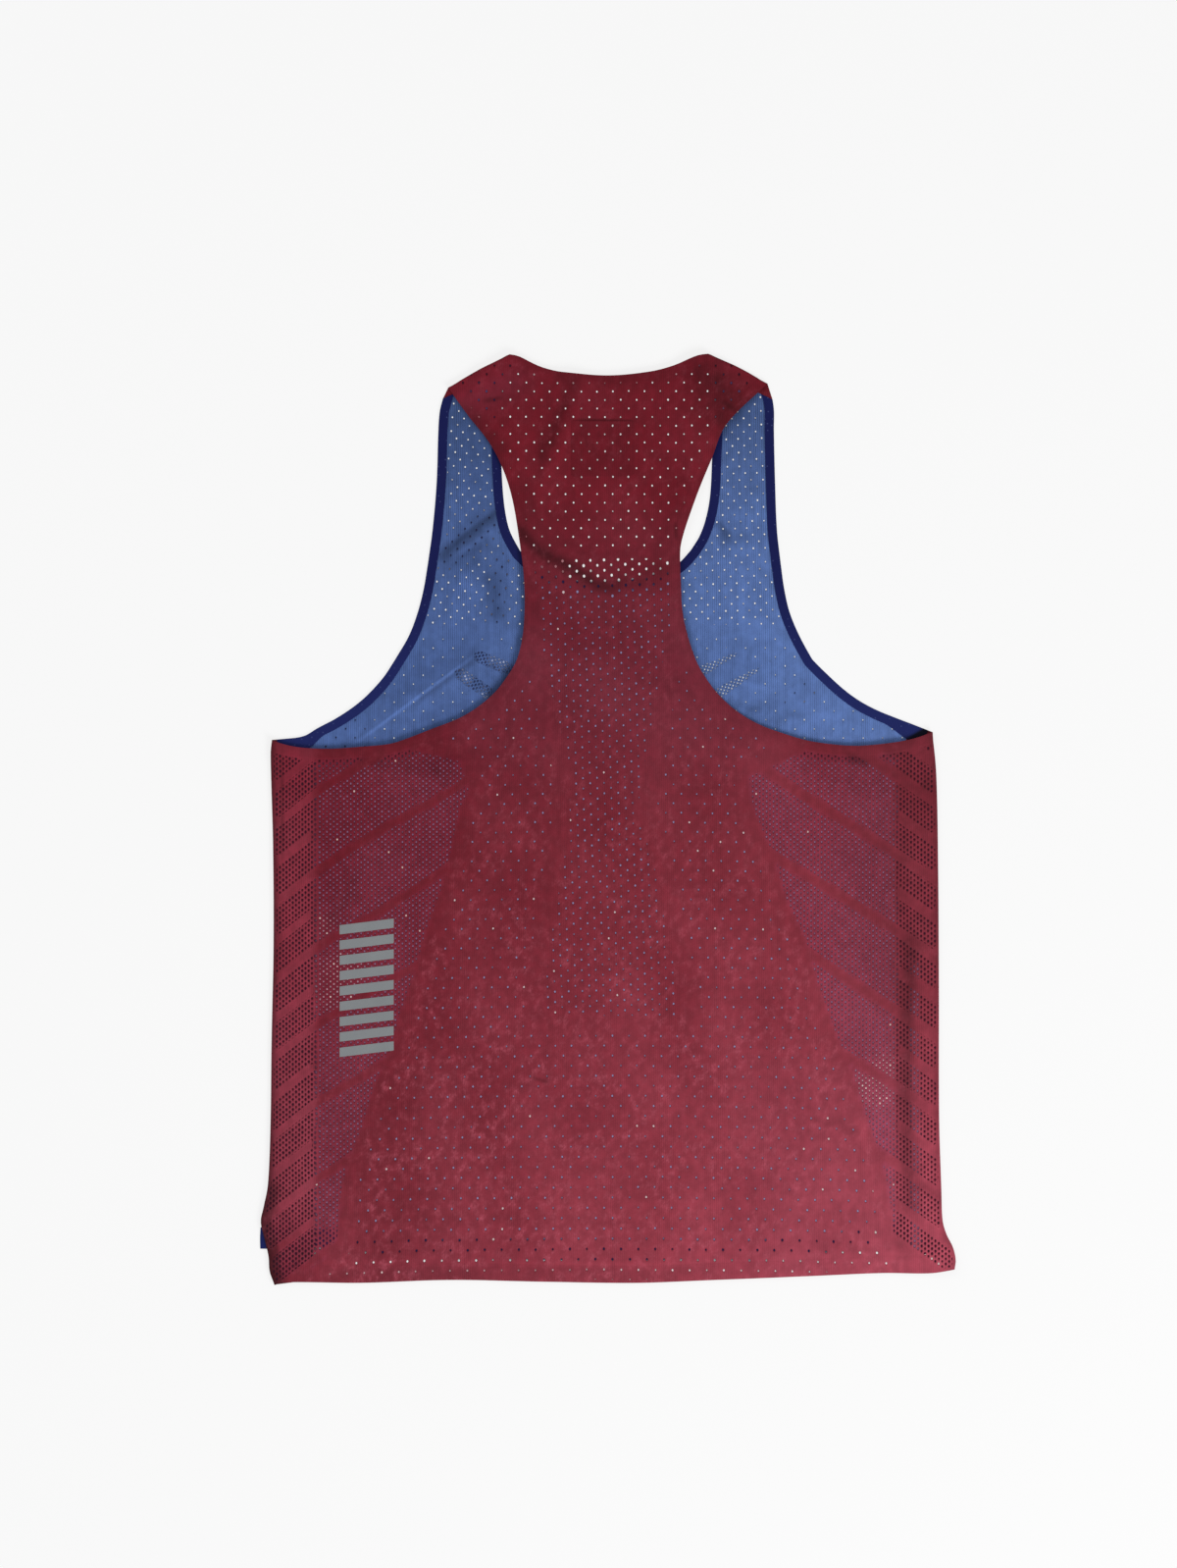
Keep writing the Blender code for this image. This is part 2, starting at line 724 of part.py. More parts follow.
def build_back_panel(material: bpy.types.Material) -> tuple[Sheet, Sheet]:
    """Build the back panel with its folded sides and shoulders, and return its upper sheets."""
    body = top_sheet(back_body_grid())
    racer = top_sheet(racer_grid())
    left_edge = body.outer[:, 0]
    right_edge = body.outer[:, -1]
    left_seam = side_seam(left_edge, SIDE_SEAM_LEFT, FRONT_UNDERARM_LEFT[0].y)
    right_seam = side_seam(right_edge, SIDE_SEAM_RIGHT, FRONT_UNDERARM_RIGHT[-1].y)
    left_side = folded_strip(left_edge, left_seam, 2)
    right_side = folded_strip(right_edge, right_seam, 2)
    steps = len(SHOULDER_SHARES)
    shoulders = []
    for edge, seam in (
        (racer.outer[-1, :steps], shoulder_fold(True)[1]),
        (racer.outer[-1, -steps:], shoulder_fold(False)[1]),
    ):
        shoulders.append(folded_strip(edge, seam, 1))
    sheets = [
        body,
        racer,
        Sheet(left_side.outer[:, ::-1], left_side.inner[:, ::-1]),
        right_side,
    ]
    for shoulder in shoulders:
        sheets.append(Sheet(shoulder.outer.swapaxes(0, 1), shoulder.inner.swapaxes(0, 1)))
    add_piece("back_panel", closed_mesh("back_panel", sheets), material)
    return body, racer


def front_body_grid() -> np.ndarray:
    """Return the front panel's plan from the hem to the strap chest line."""
    inside = FRONT_BODY_LENGTH - HEM_TAPE_WIDTH - FRONT_TAPE_ROW
    rows = HEM_TAPE_WIDTH + inside * even(round(inside / FRONT_ROW_STEP))
    shares = np.concatenate([[0.0], rows, [FRONT_BODY_LENGTH]]) / FRONT_BODY_LENGTH
    left = smooth_path((FRONT_HEM[0], FRONT_UNDERARM_LEFT[0]), shares)
    right = smooth_path((FRONT_HEM[-1], FRONT_UNDERARM_RIGHT[-1]), shares)
    arm_left = smooth_path(FRONT_UNDERARM_LEFT, even(FRONT_UNDERARM_COLUMNS))
    arm_right = smooth_path(FRONT_UNDERARM_RIGHT, even(FRONT_UNDERARM_COLUMNS))
    top = np.vstack([arm_left[:-1], chest_foot(), arm_right[1:]])
    widths = np.concatenate([[0.0], np.cumsum(np.abs(np.diff(top[:, 0])))])
    bottom = smooth_path(FRONT_HEM, widths / widths[-1])
    return patch(bottom, top, left, right)


def chest_foot() -> np.ndarray:
    """Return the line across the foot of the chest, strap columns first and last."""
    strap = STRAP_FOOT_SHARE * np.array(STRAP_SHARES)
    middle = STRAP_FOOT_SHARE + (1 - 2 * STRAP_FOOT_SHARE) * even(FRONT_NECK_COLUMNS)
    shares = np.concatenate([strap, middle[1:-1], 1 - strap[::-1]])
    return smooth_path((FRONT_UNDERARM_LEFT[-1], FRONT_UNDERARM_RIGHT[0]), shares)


def chest_grid() -> np.ndarray:
    """Return the front panel's plan from the chest line to the strap feet and the neckline."""
    shares = np.concatenate([(1 - CHEST_EDGE_SHARE) * even(CHEST_ROWS), [1.0]])
    strap = np.array(STRAP_SHARES)
    left_foot = smooth_path((FRONT_CHEST_LEFT[-1], FRONT_NECK_CURVE[0]), strap)
    right_foot = smooth_path((FRONT_NECK_CURVE[-1], FRONT_CHEST_RIGHT[-1]), 1 - strap[::-1])
    neck = smooth_path(FRONT_NECK_CURVE, even(FRONT_NECK_COLUMNS))
    top = np.vstack([left_foot, neck[1:-1], right_foot])
    left = smooth_path(FRONT_CHEST_LEFT, shares)
    right = smooth_path(FRONT_CHEST_RIGHT, shares)
    return patch(chest_foot(), top, left, right)


def strap_grid(left: bool) -> np.ndarray:
    """Return one front strap's plan from its foot to the shoulder seam."""
    strap = np.array(STRAP_SHARES)
    rows = even(STRAP_ROWS)
    if left:
        bottom = smooth_path((FRONT_CHEST_LEFT[-1], FRONT_NECK_CURVE[0]), strap)
        seam, outer, inner = FRONT_SEAM_LEFT, FRONT_STRAP_LEFT, FRONT_NECK_LEFT
        first, last = smooth_path(outer, rows), smooth_path(inner, rows)
    else:
        bottom = smooth_path((FRONT_NECK_CURVE[-1], FRONT_CHEST_RIGHT[-1]), 1 - strap[::-1])
        seam, outer, inner = FRONT_SEAM_RIGHT, FRONT_STRAP_RIGHT, FRONT_NECK_RIGHT
        first, last = smooth_path(inner, rows), smooth_path(outer, rows)
    top = smooth_path(seam, strap if left else 1 - strap[::-1]) - np.array([0.0, CLEAR + 0.1])
    first[-1], last[-1] = top[0], top[-1]
    return patch(bottom, top, first, last)


def build_front_panel(material: bpy.types.Material) -> None:
    """Build the front panel from its body, chest and two straps."""
    grids = [front_body_grid(), chest_grid(), strap_grid(True), strap_grid(False)]
    sheets = [lower_sheet(grid, front_height(grid)) for grid in grids]
    add_piece("front_panel", closed_mesh("front_panel", sheets), material)


def edge_strip(path: np.ndarray, width: float, cells: int, inside: float) -> np.ndarray:
    """Return the plan of a tape along an edge.

    Args:
        path: The edge, finely.
        width: The tape's width.
        cells: How many cells it has along its length.
        inside: 1 where the panel lies to the path's left, -1 where it lies to its right.

    Returns:
        A grid of two rows, whose rows climb to the left of their columns.
    """
    lengths = np.concatenate([[0.0], np.cumsum(np.linalg.norm(np.diff(path, axis=0), axis=1))])
    wanted = np.linspace(TAPE_END, lengths[-1] - TAPE_END, cells + 1)
    edge = np.column_stack([np.interp(wanted, lengths, path[:, axis]) for axis in (0, 1)])
    run = np.gradient(edge, axis=0)
    normal = np.column_stack([-run[:, 1], run[:, 0]]) / np.linalg.norm(run, axis=1)[:, None]
    offset = edge + normal * width * inside
    return np.stack([edge, offset] if inside > 0 else [offset, edge])


def build_front_tapes(material: bpy.types.Material) -> None:
    """Build the tapes that lie on the front panel along its armholes, neckline and hem."""
    hem = smooth_path(FRONT_HEM, even(PATH_STEPS))
    for name, path, width, cells, inside in (
        ("front_armhole_tape_left", front_armhole(True), TAPE_WIDTH, 26, -1.0),
        ("front_armhole_tape_right", front_armhole(False), TAPE_WIDTH, 26, 1.0),
        ("front_neck_tape", front_neckline(), TAPE_WIDTH, 38, -1.0),
        ("front_hem_tape", hem, HEM_TAPE_WIDTH, 24, 1.0),
    ):
        flat = edge_strip(path, width, cells, inside)
        tape = lower_sheet(flat, np.full(flat.shape[:2], LAYER))
        add_piece(name, closed_mesh(name, [tape]), material)


def build_back_tapes(body: Sheet, racer: Sheet, material: bpy.types.Material) -> None:
    """Build the tapes under the back panel along its armholes and its neckline."""
    hung = [
        Sheet(sheet.inner - [0.0, 0.0, CLEAR], sheet.inner - [0.0, 0.0, LAYER])
        for sheet in (body, racer)
    ]
    body_rows, body_columns = (size - 1 for size in body.outer.shape[:2])
    racer_rows, racer_columns = (size - 1 for size in racer.outer.shape[:2])
    arm = UNDERARM_COLUMNS
    shoulder = len(SHOULDER_SHARES) - 1

    def off_left(sheet: int, row: int, column: int) -> bool:
        if sheet == 0:
            return not (row == body_rows - 1 and 1 <= column <= arm)
        return column != 0 or row == racer_rows - 1

    def off_right(sheet: int, row: int, column: int) -> bool:
        if sheet == 0:
            return not (row == body_rows - 1 and body_columns - arm - 1 <= column < body_columns - 1)
        return column != racer_columns - 1 or row == racer_rows - 1

    def off_neck(sheet: int, row: int, column: int) -> bool:
        return not (sheet == 1 and row == racer_rows - 1 and shoulder <= column < racer_columns - shoulder)

    for name, skip in (
        ("back_armhole_tape_left", off_left),
        ("back_armhole_tape_right", off_right),
        ("back_neck_tape", off_neck),
    ):
        add_piece(name, closed_mesh(name, hung, skip), material)


def build_hem_band(body: Sheet, material: bpy.types.Material) -> None:
    """Build the turned-up band that lies on the surface under the back hem."""
    columns = body.outer.shape[1]
    hem = body.outer[0, :, :2]
    inside = [
        number
        for number in range(columns)
        if SIDE_SEAM_LEFT + CLEAR < hem[number, 0] < SIDE_SEAM_RIGHT - CLEAR
    ]
    lower = hem[inside]
    upper = lower + np.array([0.0, HEM_BAND_WIDTH])
    flat = np.stack([lower, upper])
    band = lower_sheet(flat, np.zeros(flat.shape[:2]))
    add_piece("back_hem_band", closed_mesh("back_hem_band", [band]), material)


def build_label(material: bpy.types.Material) -> None:
    """Build the bare patch inside the back, below the neckline."""
    across = LABEL_CENTRE[0] + LABEL_SIZE[0] * (even(5) - 0.5)
    along = LABEL_CENTRE[1] + LABEL_SIZE[1] * (even(5) - 0.5)
    flat = np.stack(np.meshgrid(across, along), axis=-1)
    under_cloth = back_height(flat).min() - CLOTH - LAYER - SLACK
    patch_sheet = lower_sheet(flat, np.full(flat.shape[:2], under_cloth))
    add_piece("neck_label", closed_mesh("neck_label", [patch_sheet]), material)


def main() -> None:
    """Build the whole garment."""
    for existing in list(bpy.data.objects):
        bpy.data.objects.remove(existing)
    maroon = cloth_material("maroon knit", MAROON)
    blue = cloth_material("blue knit", BLUE)
    navy = cloth_material("navy tape", NAVY)
    body, racer = build_back_panel(maroon)
    build_front_panel(blue)
    build_front_tapes(navy)
    build_back_tapes(body, racer, maroon)
    build_hem_band(body, maroon)
    build_label(maroon)


main()
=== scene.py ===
"""Running singlet with a racer back, laid flat with its back up: the dressed model.

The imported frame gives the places. The cut's tables below are in millimetres in that frame: the
cloth lies in the XY plane with the neck towards +Y and the hem towards -Y, and its underside
rests on Z = 0. Each panel is a thin closed wall of knit. What changes over a panel, such as
where its eyelets lie and what shows through them, is kept on the mesh as point attributes that
the finishes read.
"""

from __future__ import annotations

import logging
import math
import sys
from dataclasses import dataclass
from enum import Enum
from typing import Any, Callable, Iterable, Iterator, Mapping, NamedTuple, Sequence

import bpy
import numpy as np
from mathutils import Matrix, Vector

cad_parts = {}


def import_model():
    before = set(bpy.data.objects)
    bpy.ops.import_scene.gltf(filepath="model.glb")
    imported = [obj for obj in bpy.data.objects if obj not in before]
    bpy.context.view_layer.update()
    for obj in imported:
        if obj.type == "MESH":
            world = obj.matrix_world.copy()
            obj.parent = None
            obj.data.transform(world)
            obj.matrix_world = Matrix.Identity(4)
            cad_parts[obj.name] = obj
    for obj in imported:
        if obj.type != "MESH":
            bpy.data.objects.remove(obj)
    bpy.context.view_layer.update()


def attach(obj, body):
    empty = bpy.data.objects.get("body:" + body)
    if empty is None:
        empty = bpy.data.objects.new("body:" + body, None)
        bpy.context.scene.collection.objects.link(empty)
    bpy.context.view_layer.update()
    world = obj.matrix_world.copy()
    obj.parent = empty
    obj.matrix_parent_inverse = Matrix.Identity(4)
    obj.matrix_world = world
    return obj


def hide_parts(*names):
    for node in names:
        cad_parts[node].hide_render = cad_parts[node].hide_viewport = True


LOG = logging.getLogger("singlet")
MILLIMETRE = 0.001
# Grid points closer than a step are welded. The offset is odd, so that places on a round
# number of steps don't fall on both sides of it.
WELD_STEP = 0.02
WELD_OFFSET = 0.137
# Each span between two places of a table is drawn in this many straight steps.
STEPS_BETWEEN_PLACES = 12

Table = tuple[tuple[float, float], ...]
Colour = tuple[float, float, float]
Shown = tuple[float, float, float, float]
Piece = bpy.types.Object

# ---------------------------------------------------------------------------------------------
# The cut: the lines of the laid garment, in millimetres.
# ---------------------------------------------------------------------------------------------

SIDE_SEAM_LEFT = -220.5
SIDE_SEAM_RIGHT = 217.5
# How far each side seam swings out near the underarm, and from which height to which.
SEAM_SWING_LEFT = (15.5, 24.0, 64.6)
SEAM_SWING_RIGHT = (11.0, 32.0, 72.7)

LEFT_SIDE: Table = (
    (-252.4, -352.4), (-256.1, -342), (-256.9, -330.8), (-259.9, -317.5), (-262.8, -304.8),
    (-260.6, -293.7), (-257.4, -277), (-255.5, -235), (-254.6, -167.4), (-253.1, -95),
    (-253.5, -20), (-255.3, 50), (-254.2, 60),
)
RIGHT_SIDE: Table = (
    (262.5, -340.5), (263.3, -333), (261.1, -323.4), (256.6, -314.5), (253.6, -304),
    (252.6, -280), (250.9, -225), (250.7, -122.8), (250.1, -30), (248.8, 33.3), (245.9, 66),
)
BACK_HEM: Table = (
    (-252.4, -352.4), (-244, -350.4), (-187, -350.9), (-120, -348.7), (-45, -350.1), (21, -350.9),
    (80.5, -348.7), (154.8, -345.7), (207, -343.5), (244, -343.5), (262.5, -340.5),
)
FRONT_HEM: Table = (
    (SIDE_SEAM_LEFT, -325.4), (-163, -330), (-80, -333), (-8, -334.3), (108, -333.6), (156, -330),
    (191, -325.6), (SIDE_SEAM_RIGHT, -320.6),
)
BACK_UNDERARM_LEFT: Table = (
    (-254.2, 60), (-246.4, 57), (-231.6, 54.1), (-209, 53.3), (-187, 54.8), (-164.7, 57),
    (-149.8, 61.8), (-135.5, 67.4), (-112.7, 76.3), (-97.8, 85.3), (-84, 97.5), (-73.3, 112),
)
BACK_UNDERARM_RIGHT: Table = (
    (70.8, 112), (80.5, 98), (93.1, 85.3), (105.8, 76.3), (119.1, 69.7), (134, 64.5), (148.9, 60),
    (163.7, 57.4), (186, 55.5), (208.3, 57), (230.6, 60.7), (245.9, 66),
)
RACER_LEFT: Table = (
    (-73.3, 112), (-68.6, 121), (-64.4, 138.8), (-62.9, 162), (-63.8, 187), (-66.8, 210),
    (-71.1, 236.8), (-75.8, 255), (-82.5, 272), (-91.5, 287.5), (-104.5, 303.7), (-120.9, 326.5),
)
RACER_RIGHT: Table = (
    (70.8, 112), (66.4, 120.9), (60.4, 138.8), (56.6, 156.6), (55.3, 177), (54.8, 204),
    (56.8, 214), (61.4, 228.5), (70, 252), (79, 273.6), (87.2, 294.8), (98.5, 308.5),
    (121, 329.5),
)
SHOULDER_LEFT: Table = ((-120.9, 326.5), (-97.5, 340.2), (-74.0, 351.8))
SHOULDER_RIGHT: Table = ((75.6, 352.2), (98.5, 342.2), (121.0, 329.5))
BACK_NECK: Table = (
    (-74, 351.8), (-66.6, 349.8), (-57.7, 345.3), (-48.8, 341.6), (-35, 338.4), (0, 335.7),
    (31.5, 338.6), (49.3, 343.1), (67.1, 350.5), (75.6, 352.2),
)
FRONT_SEAM_LEFT: Table = ((-124.9, 318.3), (-78.5, 338.8))
FRONT_SEAM_RIGHT: Table = ((79.5, 339.5), (124.8, 317.6))
FRONT_UNDERARM_LEFT: Table = (
    (-236, 61.6), (-229, 63.3), (-220.2, 68.7), (-206.3, 76), (-192.2, 85.3), (-181.8, 94.2),
    (-169.8, 107.5), (-161, 120.9),
)
FRONT_UNDERARM_RIGHT: Table = (
    (154.8, 120.9), (163.7, 112), (178, 98.8), (190.5, 89.6), (204, 82.4), (217.2, 77),
    (228.5, 72.7),
)
FRONT_CHEST_LEFT: Table = (
    (-161, 120.9), (-150.6, 138.8), (-143.9, 156.6), (-139.4, 174.4), (-136.3, 193),
)
FRONT_CHEST_RIGHT: Table = (
    (154.8, 120.9), (145.1, 138.8), (137.7, 156.6), (133.6, 174.4), (131, 193),
)
FRONT_STRAP_LEFT: Table = (
    (-136.3, 193), (-132.7, 219), (-129.6, 255), (-128.3, 294.8), (-127.2, 309), (-124.9, 318.3),
)
FRONT_STRAP_RIGHT: Table = (
    (131, 193), (128.1, 219), (126.7, 255), (125.8, 294.8), (125.9, 309), (124.8, 317.6),
)
FRONT_NECK_LEFT: Table = (
    (-66.4, 203), (-74, 217.5), (-77.4, 230.9), (-79.6, 250), (-80.7, 275), (-81, 305),
    (-78.5, 338.8),
)
FRONT_NECK_RIGHT: Table = (
    (63, 203.7), (69.7, 214.6), (74.6, 228.7), (77.6, 246), (79, 273.6), (80.2, 305),
    (79.5, 339.5),
)
FRONT_NECK_CURVE: Table = (
    (-66.4, 203), (-55.5, 192.6), (-43, 186.4), (-25, 182), (-4.2, 179.4), (22.5, 181.6),
    (42, 187.2), (54, 194), (63, 203.7),
)

# The knitted zones of the back panel, from top to bottom along their edges.
SPINE_LEFT: Table = (
    (-56.5, 197.5), (-52, 142.5), (-46.5, 115), (-41, 87.5), (-35.5, 66.7), (-29, 40.7),
    (-29, -7.6), (-33.5, -31.4), (-43, -89.4), (-47.5, -122.8), (-47.5, -149),
)
SPINE_RIGHT: Table = (
    (52.5, 197.5), (51.8, 153), (46.5, 145.5), (41.5, 117), (36.3, 87.5), (31.8, 62.2),
    (27.5, 40), (22.6, 4.3), (35.2, -33.6), (44, -80), (53, -122.8), (53, -149),
)
SIDE_MESH_LEFT: Table = (
    (-150, 53), (-112, 44), (-104.5, 22), (-112, 8), (-120.8, -34), (-129, -62), (-137, -83),
    (-148, -122), (-158, -149.5), (-165, -177), (-176, -199), (-185.5, -232), (-196.6, -259.5),
    (-202, -284), (-205, -322), (-213, -332), (-232, -345),
)
SIDE_MESH_RIGHT: Table = (
    (150, 52), (106.5, 32), (110, 8), (124, -25), (135.5, -62), (149, -89), (158, -122),
    (168, -149.5), (174, -166), (185, -190), (196, -227), (207, -256.5), (213, -284),
    (216, -314.5), (224, -328), (240, -340),
)


class Crease(NamedTuple):
    """A soft ridge, or a trough where its height is below zero, between two places."""

    x0: float
    y0: float
    x1: float
    y1: float
    width: float
    height: float


def creases(*rows: Sequence[float]) -> tuple[Crease, ...]:
    """Return the rows, whose columns are a crease's own, as creases."""
    return tuple(Crease(*row) for row in rows)


# The folds that the solids hold.
BACK_CREASES = creases(
    (-22, 332, -60, 238, 10, 2.4), (70, 330, 101, 310, 9, 2.6), (-100, 330, -72, 296, 10, 2),
    (-210, 28, -110, 40, 13, 2.6), (-150, 5, -60, 66, 16, 1.8), (96, 52, 196, 20, 15, 2),
    (56, 140, 70, 60, 13, 1.8), (-54, 150, -70, 72, 13, 1.6), (-205, -60, -160, -150, 18, 1.6),
    (-60, -60, 60, -150, 22, 1.5), (120, -150, 205, -265, 18, 2.2),
    (-170, -230, -40, -268, 20, 1.7), (10, -292, 165, -276, 14, 1.8),
    (226, -318, 258, -336, 13, 3.6), (-232, -250, -247, -318, 12, 3),
)
FRONT_CREASES = creases(
    (-86, 234, -123, 206, 7, 3), (-100, 122, -160, 88, 7, 2.4), (-122, 168, -100, 190, 8, 1.8),
    (92, 172, 120, 132, 9, 1.9), (112, 226, 90, 238, 8, 1.6), (142, 112, 168, 84, 8, 1.6),
)

# The finer folds that lie on top of those.
BACK_WRINKLES = creases(
    (-28, 328, -52, 266, 4.5, -1), (58, 222, 52, 206, 3, -0.7), (-214, 40, -108, 49, 4.5, -0.9),
    (-150, 30, -100, 34, 4, 0.6), (-64, -190, -48, -196, 4, -0.6),
    (160, -228, 182, -234, 4.5, -0.8), (150, -316, 232, -326, 5, -0.9),
    (216, -196, 226, -300, 7, -0.9), (-190, -317.5, 190, -314, 3, -0.5),
)
FRONT_WRINKLES = creases(
    (-88, 221, -126, 196, 5, -0.9), (-84, 204, -112, 182, 4, 0.5), (-94, 128, -168, 84, 2.6, 0.9),
    (-98, 112, -150, 80, 3, -0.6), (84, 158, 112, 122, 3, 0.5), (100, 100, 150, 92, 3.5, 0.5),
)

FRONT_NECK_STEP: Table = (
    (-65.3, 217.5), (-53.3, 203.9), (-37.9, 195.3), (-22.6, 186.9), (-9, 177.4), (3, 175.7),
    (20, 179), (37, 186.9), (52.5, 195.3),
)

# Painted shade in folds and creases, and painted highlights: the height is the change of shade.
BACK_PAINTED_SHADE = creases(
    (-27.5, 327, -37, 304, 5.5, -0.30), (-40.5, 296.5, -50, 276, 6, -0.32),
    (-53, 266, -60.5, 232, 8.5, -0.20), (-27, 300, -43, 262, 5, 0.12),
    (-36, 334.5, 44, 332.5, 5.5, -0.17), (82, 330, 88, 304, 7, -0.22),
    (78, 338, 100, 314, 15, -0.30), (-101, 301, -84, 280, 9, -0.22), (66, 336, 71, 320, 7, -0.20),
    (74, 306, 84, 302, 8, -0.18), (-90, 321, -78, 324, 3, 0.10), (-112, 318, -82, 335, 11, 0.30),
    (-60, 282, -52, 250, 8, 0.12), (-30, 214, 28, 208, 9, 0.10), (-60, 170, -58, 120, 9, -0.06),
    (-185, 44, -130, 37, 6, -0.17), (-130, 37, -112, 31, 5, -0.12),
    (-190, -45.8, -208, -74.5, 5, -0.16), (181.4, 47.5, 196.4, 41.5, 3, -0.22),
    (240, 25, 247, 22, 5, -0.22), (229, -92, 226, -195, 6, -0.42),
    (226, -205, 229, -292, 6.5, -0.40), (172.6, -229, 186.4, -235.8, 4.5, -0.14),
    (189, -229, 196, -241, 6, 0.12), (238, -278, 251, -287, 4, -0.26),
    (219.5, -318.7, 227, -328, 5, -0.22), (-50, -260, -42, -266, 3, -0.08),
)
FRONT_PAINTED_SHADE = creases(
    (-125, 199, -82, 232.5, 5.5, -0.46), (-123, 190, -92, 210, 4, -0.20),
    (-101, 192, -93, 184, 6, -0.08), (-88, 178, -83.5, 155, 6, -0.32),
    (-104, 172, -112, 150, 10, 0.08), (-116, 186, -96, 172, 5, 0.10),
    (-72, 114, -87, 94, 2.6, -0.50), (-141, 96, -100, 121, 3.5, -0.16),
    (-150, 82, -96, 116, 9, 0.04), (-222, 66, -196, 68, 8, 0.22),
    (-100, 206, -86, 178, 13, -0.09), (-104, 118, -88, 104, 7, -0.12),
    (84, 224, 90, 212, 5, -0.22), (90, 216, 128, 214, 5, -0.12), (104, 250, 122, 258, 8, -0.10),
    (136, 104, 158, 96, 4, -0.10), (106, 82, 128, 88, 4, -0.20), (122, 75, 146, 80, 3.5, -0.18),
    (142, 72, 172, 82, 6, 0.08), (100, 160, 130, 130, 9, 0.08),
)

# The finest creases, too narrow for the mesh: the finish raises them and paints their shade and highlight.
BACK_LINES = creases(
    (-29, 302.4, 22, 302, 1.1, -0.34), (85, 317, 98, 308, 2.4, -0.34),
    (-96, 316.2, -78, 319.4, 1.9, -0.30), (50.8, 226, 51.8, 210, 1.7, -0.36),
    (47, 229, 50, 214, 3.4, 0.12), (-246.8, 56, -246, -40, 1.5, -0.28),
    (180, 48, 198, 41, 3, -0.26), (-58, -195.4, -44, -199.2, 1.7, -0.30),
    (150, -224, 172, -232, 2.4, -0.16), (-20, -306, 24, -304, 2.2, -0.12),
)
FRONT_LINES = creases(
    (-196, 54, -94, 129, 1.6, 0.50), (-150, 85, -97, 123, 2.6, -0.20),
    (-126, 201, -82, 235, 2.2, -0.26), (-116, 199, -86, 220, 2, 0.16),
    (84, 226, 92, 212, 2.4, -0.26), (94, 106, 128, 96, 2.6, 0.16), (86, 90, 120, 82, 3, -0.14),
)


class Swell(NamedTuple):
    """An even, random-looking swell: its height, its shortest wave length and its seed."""

    height: float
    length: float
    seed: int

    def at(self, points: np.ndarray, waves: int = 9) -> np.ndarray:
        """Return the sum of a few plane waves at each x, y point.

        Args:
            points: The x, y places.
            waves: How many plane waves are added up.

        Returns:
            A height for each point.
        """
        draw = np.random.default_rng(self.seed)
        turn = draw.uniform(0.0, 2 * np.pi, waves)
        size = self.length * draw.uniform(1.0, 2.4, waves)
        phase = draw.uniform(0.0, 2 * np.pi, waves)
        total = np.zeros(points.shape[:-1])
        for angle, wave, start in zip(turn, size, phase):
            along = points[..., 0] * math.cos(angle) + points[..., 1] * math.sin(angle)
            total += np.sin(2 * np.pi * along / wave + start)
        return self.height * total / math.sqrt(waves)


FRONT_RIPPLE = Swell(0.25, 26.0, 5)
BACK_RIPPLES = (Swell(0.22, 48.0, 7), Swell(0.12, 19.0, 11))
FOLD_RIPPLE = Swell(0.25, 22.0, 3)
HEM_RIPPLE = Swell(0.25, 30.0, 17)
SIDE_BAND_RIPPLE = Swell(0.9, 70.0, 21)
BACK_MOTTLE = Swell(1.0, 48.0, 31)
FRONT_MOTTLE = Swell(0.12, 40.0, 41)


def even(count: int) -> np.ndarray:
    """Return the shares of a line cut into equal parts."""
    return np.linspace(0.0, 1.0, count + 1)


def eased(share: np.ndarray) -> np.ndarray:
    """Return a share from 0 to 1 with soft ends."""
    held = np.clip(share, 0.0, 1.0)
    return held * held * (3 - 2 * held)


def ramp(values: np.ndarray, start: float, end: float) -> np.ndarray:
    """Return 0 up to the start and 1 from the end on, eased between them."""
    return eased((values - start) / (end - start))


def bell(values: np.ndarray, width: float) -> np.ndarray:
    """Return 1 where the values are 0, falling smoothly on both sides."""
    return np.exp(-((values / width) ** 2))


def run_lengths(path: np.ndarray) -> np.ndarray:
    """Return how far along a path each of its points lies."""
    return np.concatenate([[0.0], np.cumsum(np.linalg.norm(np.diff(path, axis=0), axis=1))])


def run_shares(path: np.ndarray) -> np.ndarray:
    """Return the share of a path's length at which each of its points lies."""
    lengths = run_lengths(path)
    return lengths / lengths[-1]


def at_shares(path: np.ndarray, shares: np.ndarray) -> np.ndarray:
    """Return the x, y points at the shares of a path's length."""
    own = run_shares(path)
    return np.column_stack([np.interp(shares, own, path[:, axis]) for axis in (0, 1)])


def towards(start: np.ndarray, end: np.ndarray) -> np.ndarray:
    """Return the direction from each start point to its end point, one unit long."""
    run = end - start
    return run / np.linalg.norm(run, axis=1)[:, None]


def smooth_path(places: Sequence[Sequence[float]], shares: np.ndarray) -> np.ndarray:
    """Place points along a smooth curve through the given ones.

    Args:
        places: The places the curve passes through, in order.
        shares: How far along the curve each wanted point lies, from 0 to 1.

    Returns:
        An array of x, y rows, one for each share.
    """
    knots = np.array(places, dtype=float)
    if len(knots) == 2:
        return at_shares(knots, shares)
    padded = np.vstack([2 * knots[0] - knots[1], knots, 2 * knots[-1] - knots[-2]])
    steps = even(STEPS_BETWEEN_PLACES)[:-1, None]
    square, cube = steps**2, steps**3
    pieces = []
    for before, start, end, after in zip(padded, padded[1:], padded[2:], padded[3:]):
        chord = np.linalg.norm(end - start)
        lead, tail = (run * chord / np.linalg.norm(run) for run in (end - before, after - start))
        bend = lead * (steps - 2 * square + cube) + tail * (cube - square)
        pieces.append(start + (end - start) * (3 * square - 2 * cube) + bend)
    return at_shares(np.vstack(pieces + [knots[-1:]]), shares)


def fine(places: Sequence[Sequence[float]], steps: int = 40) -> np.ndarray:
    """Return a smooth path through the places in many short steps."""
    return smooth_path(places, even(steps))


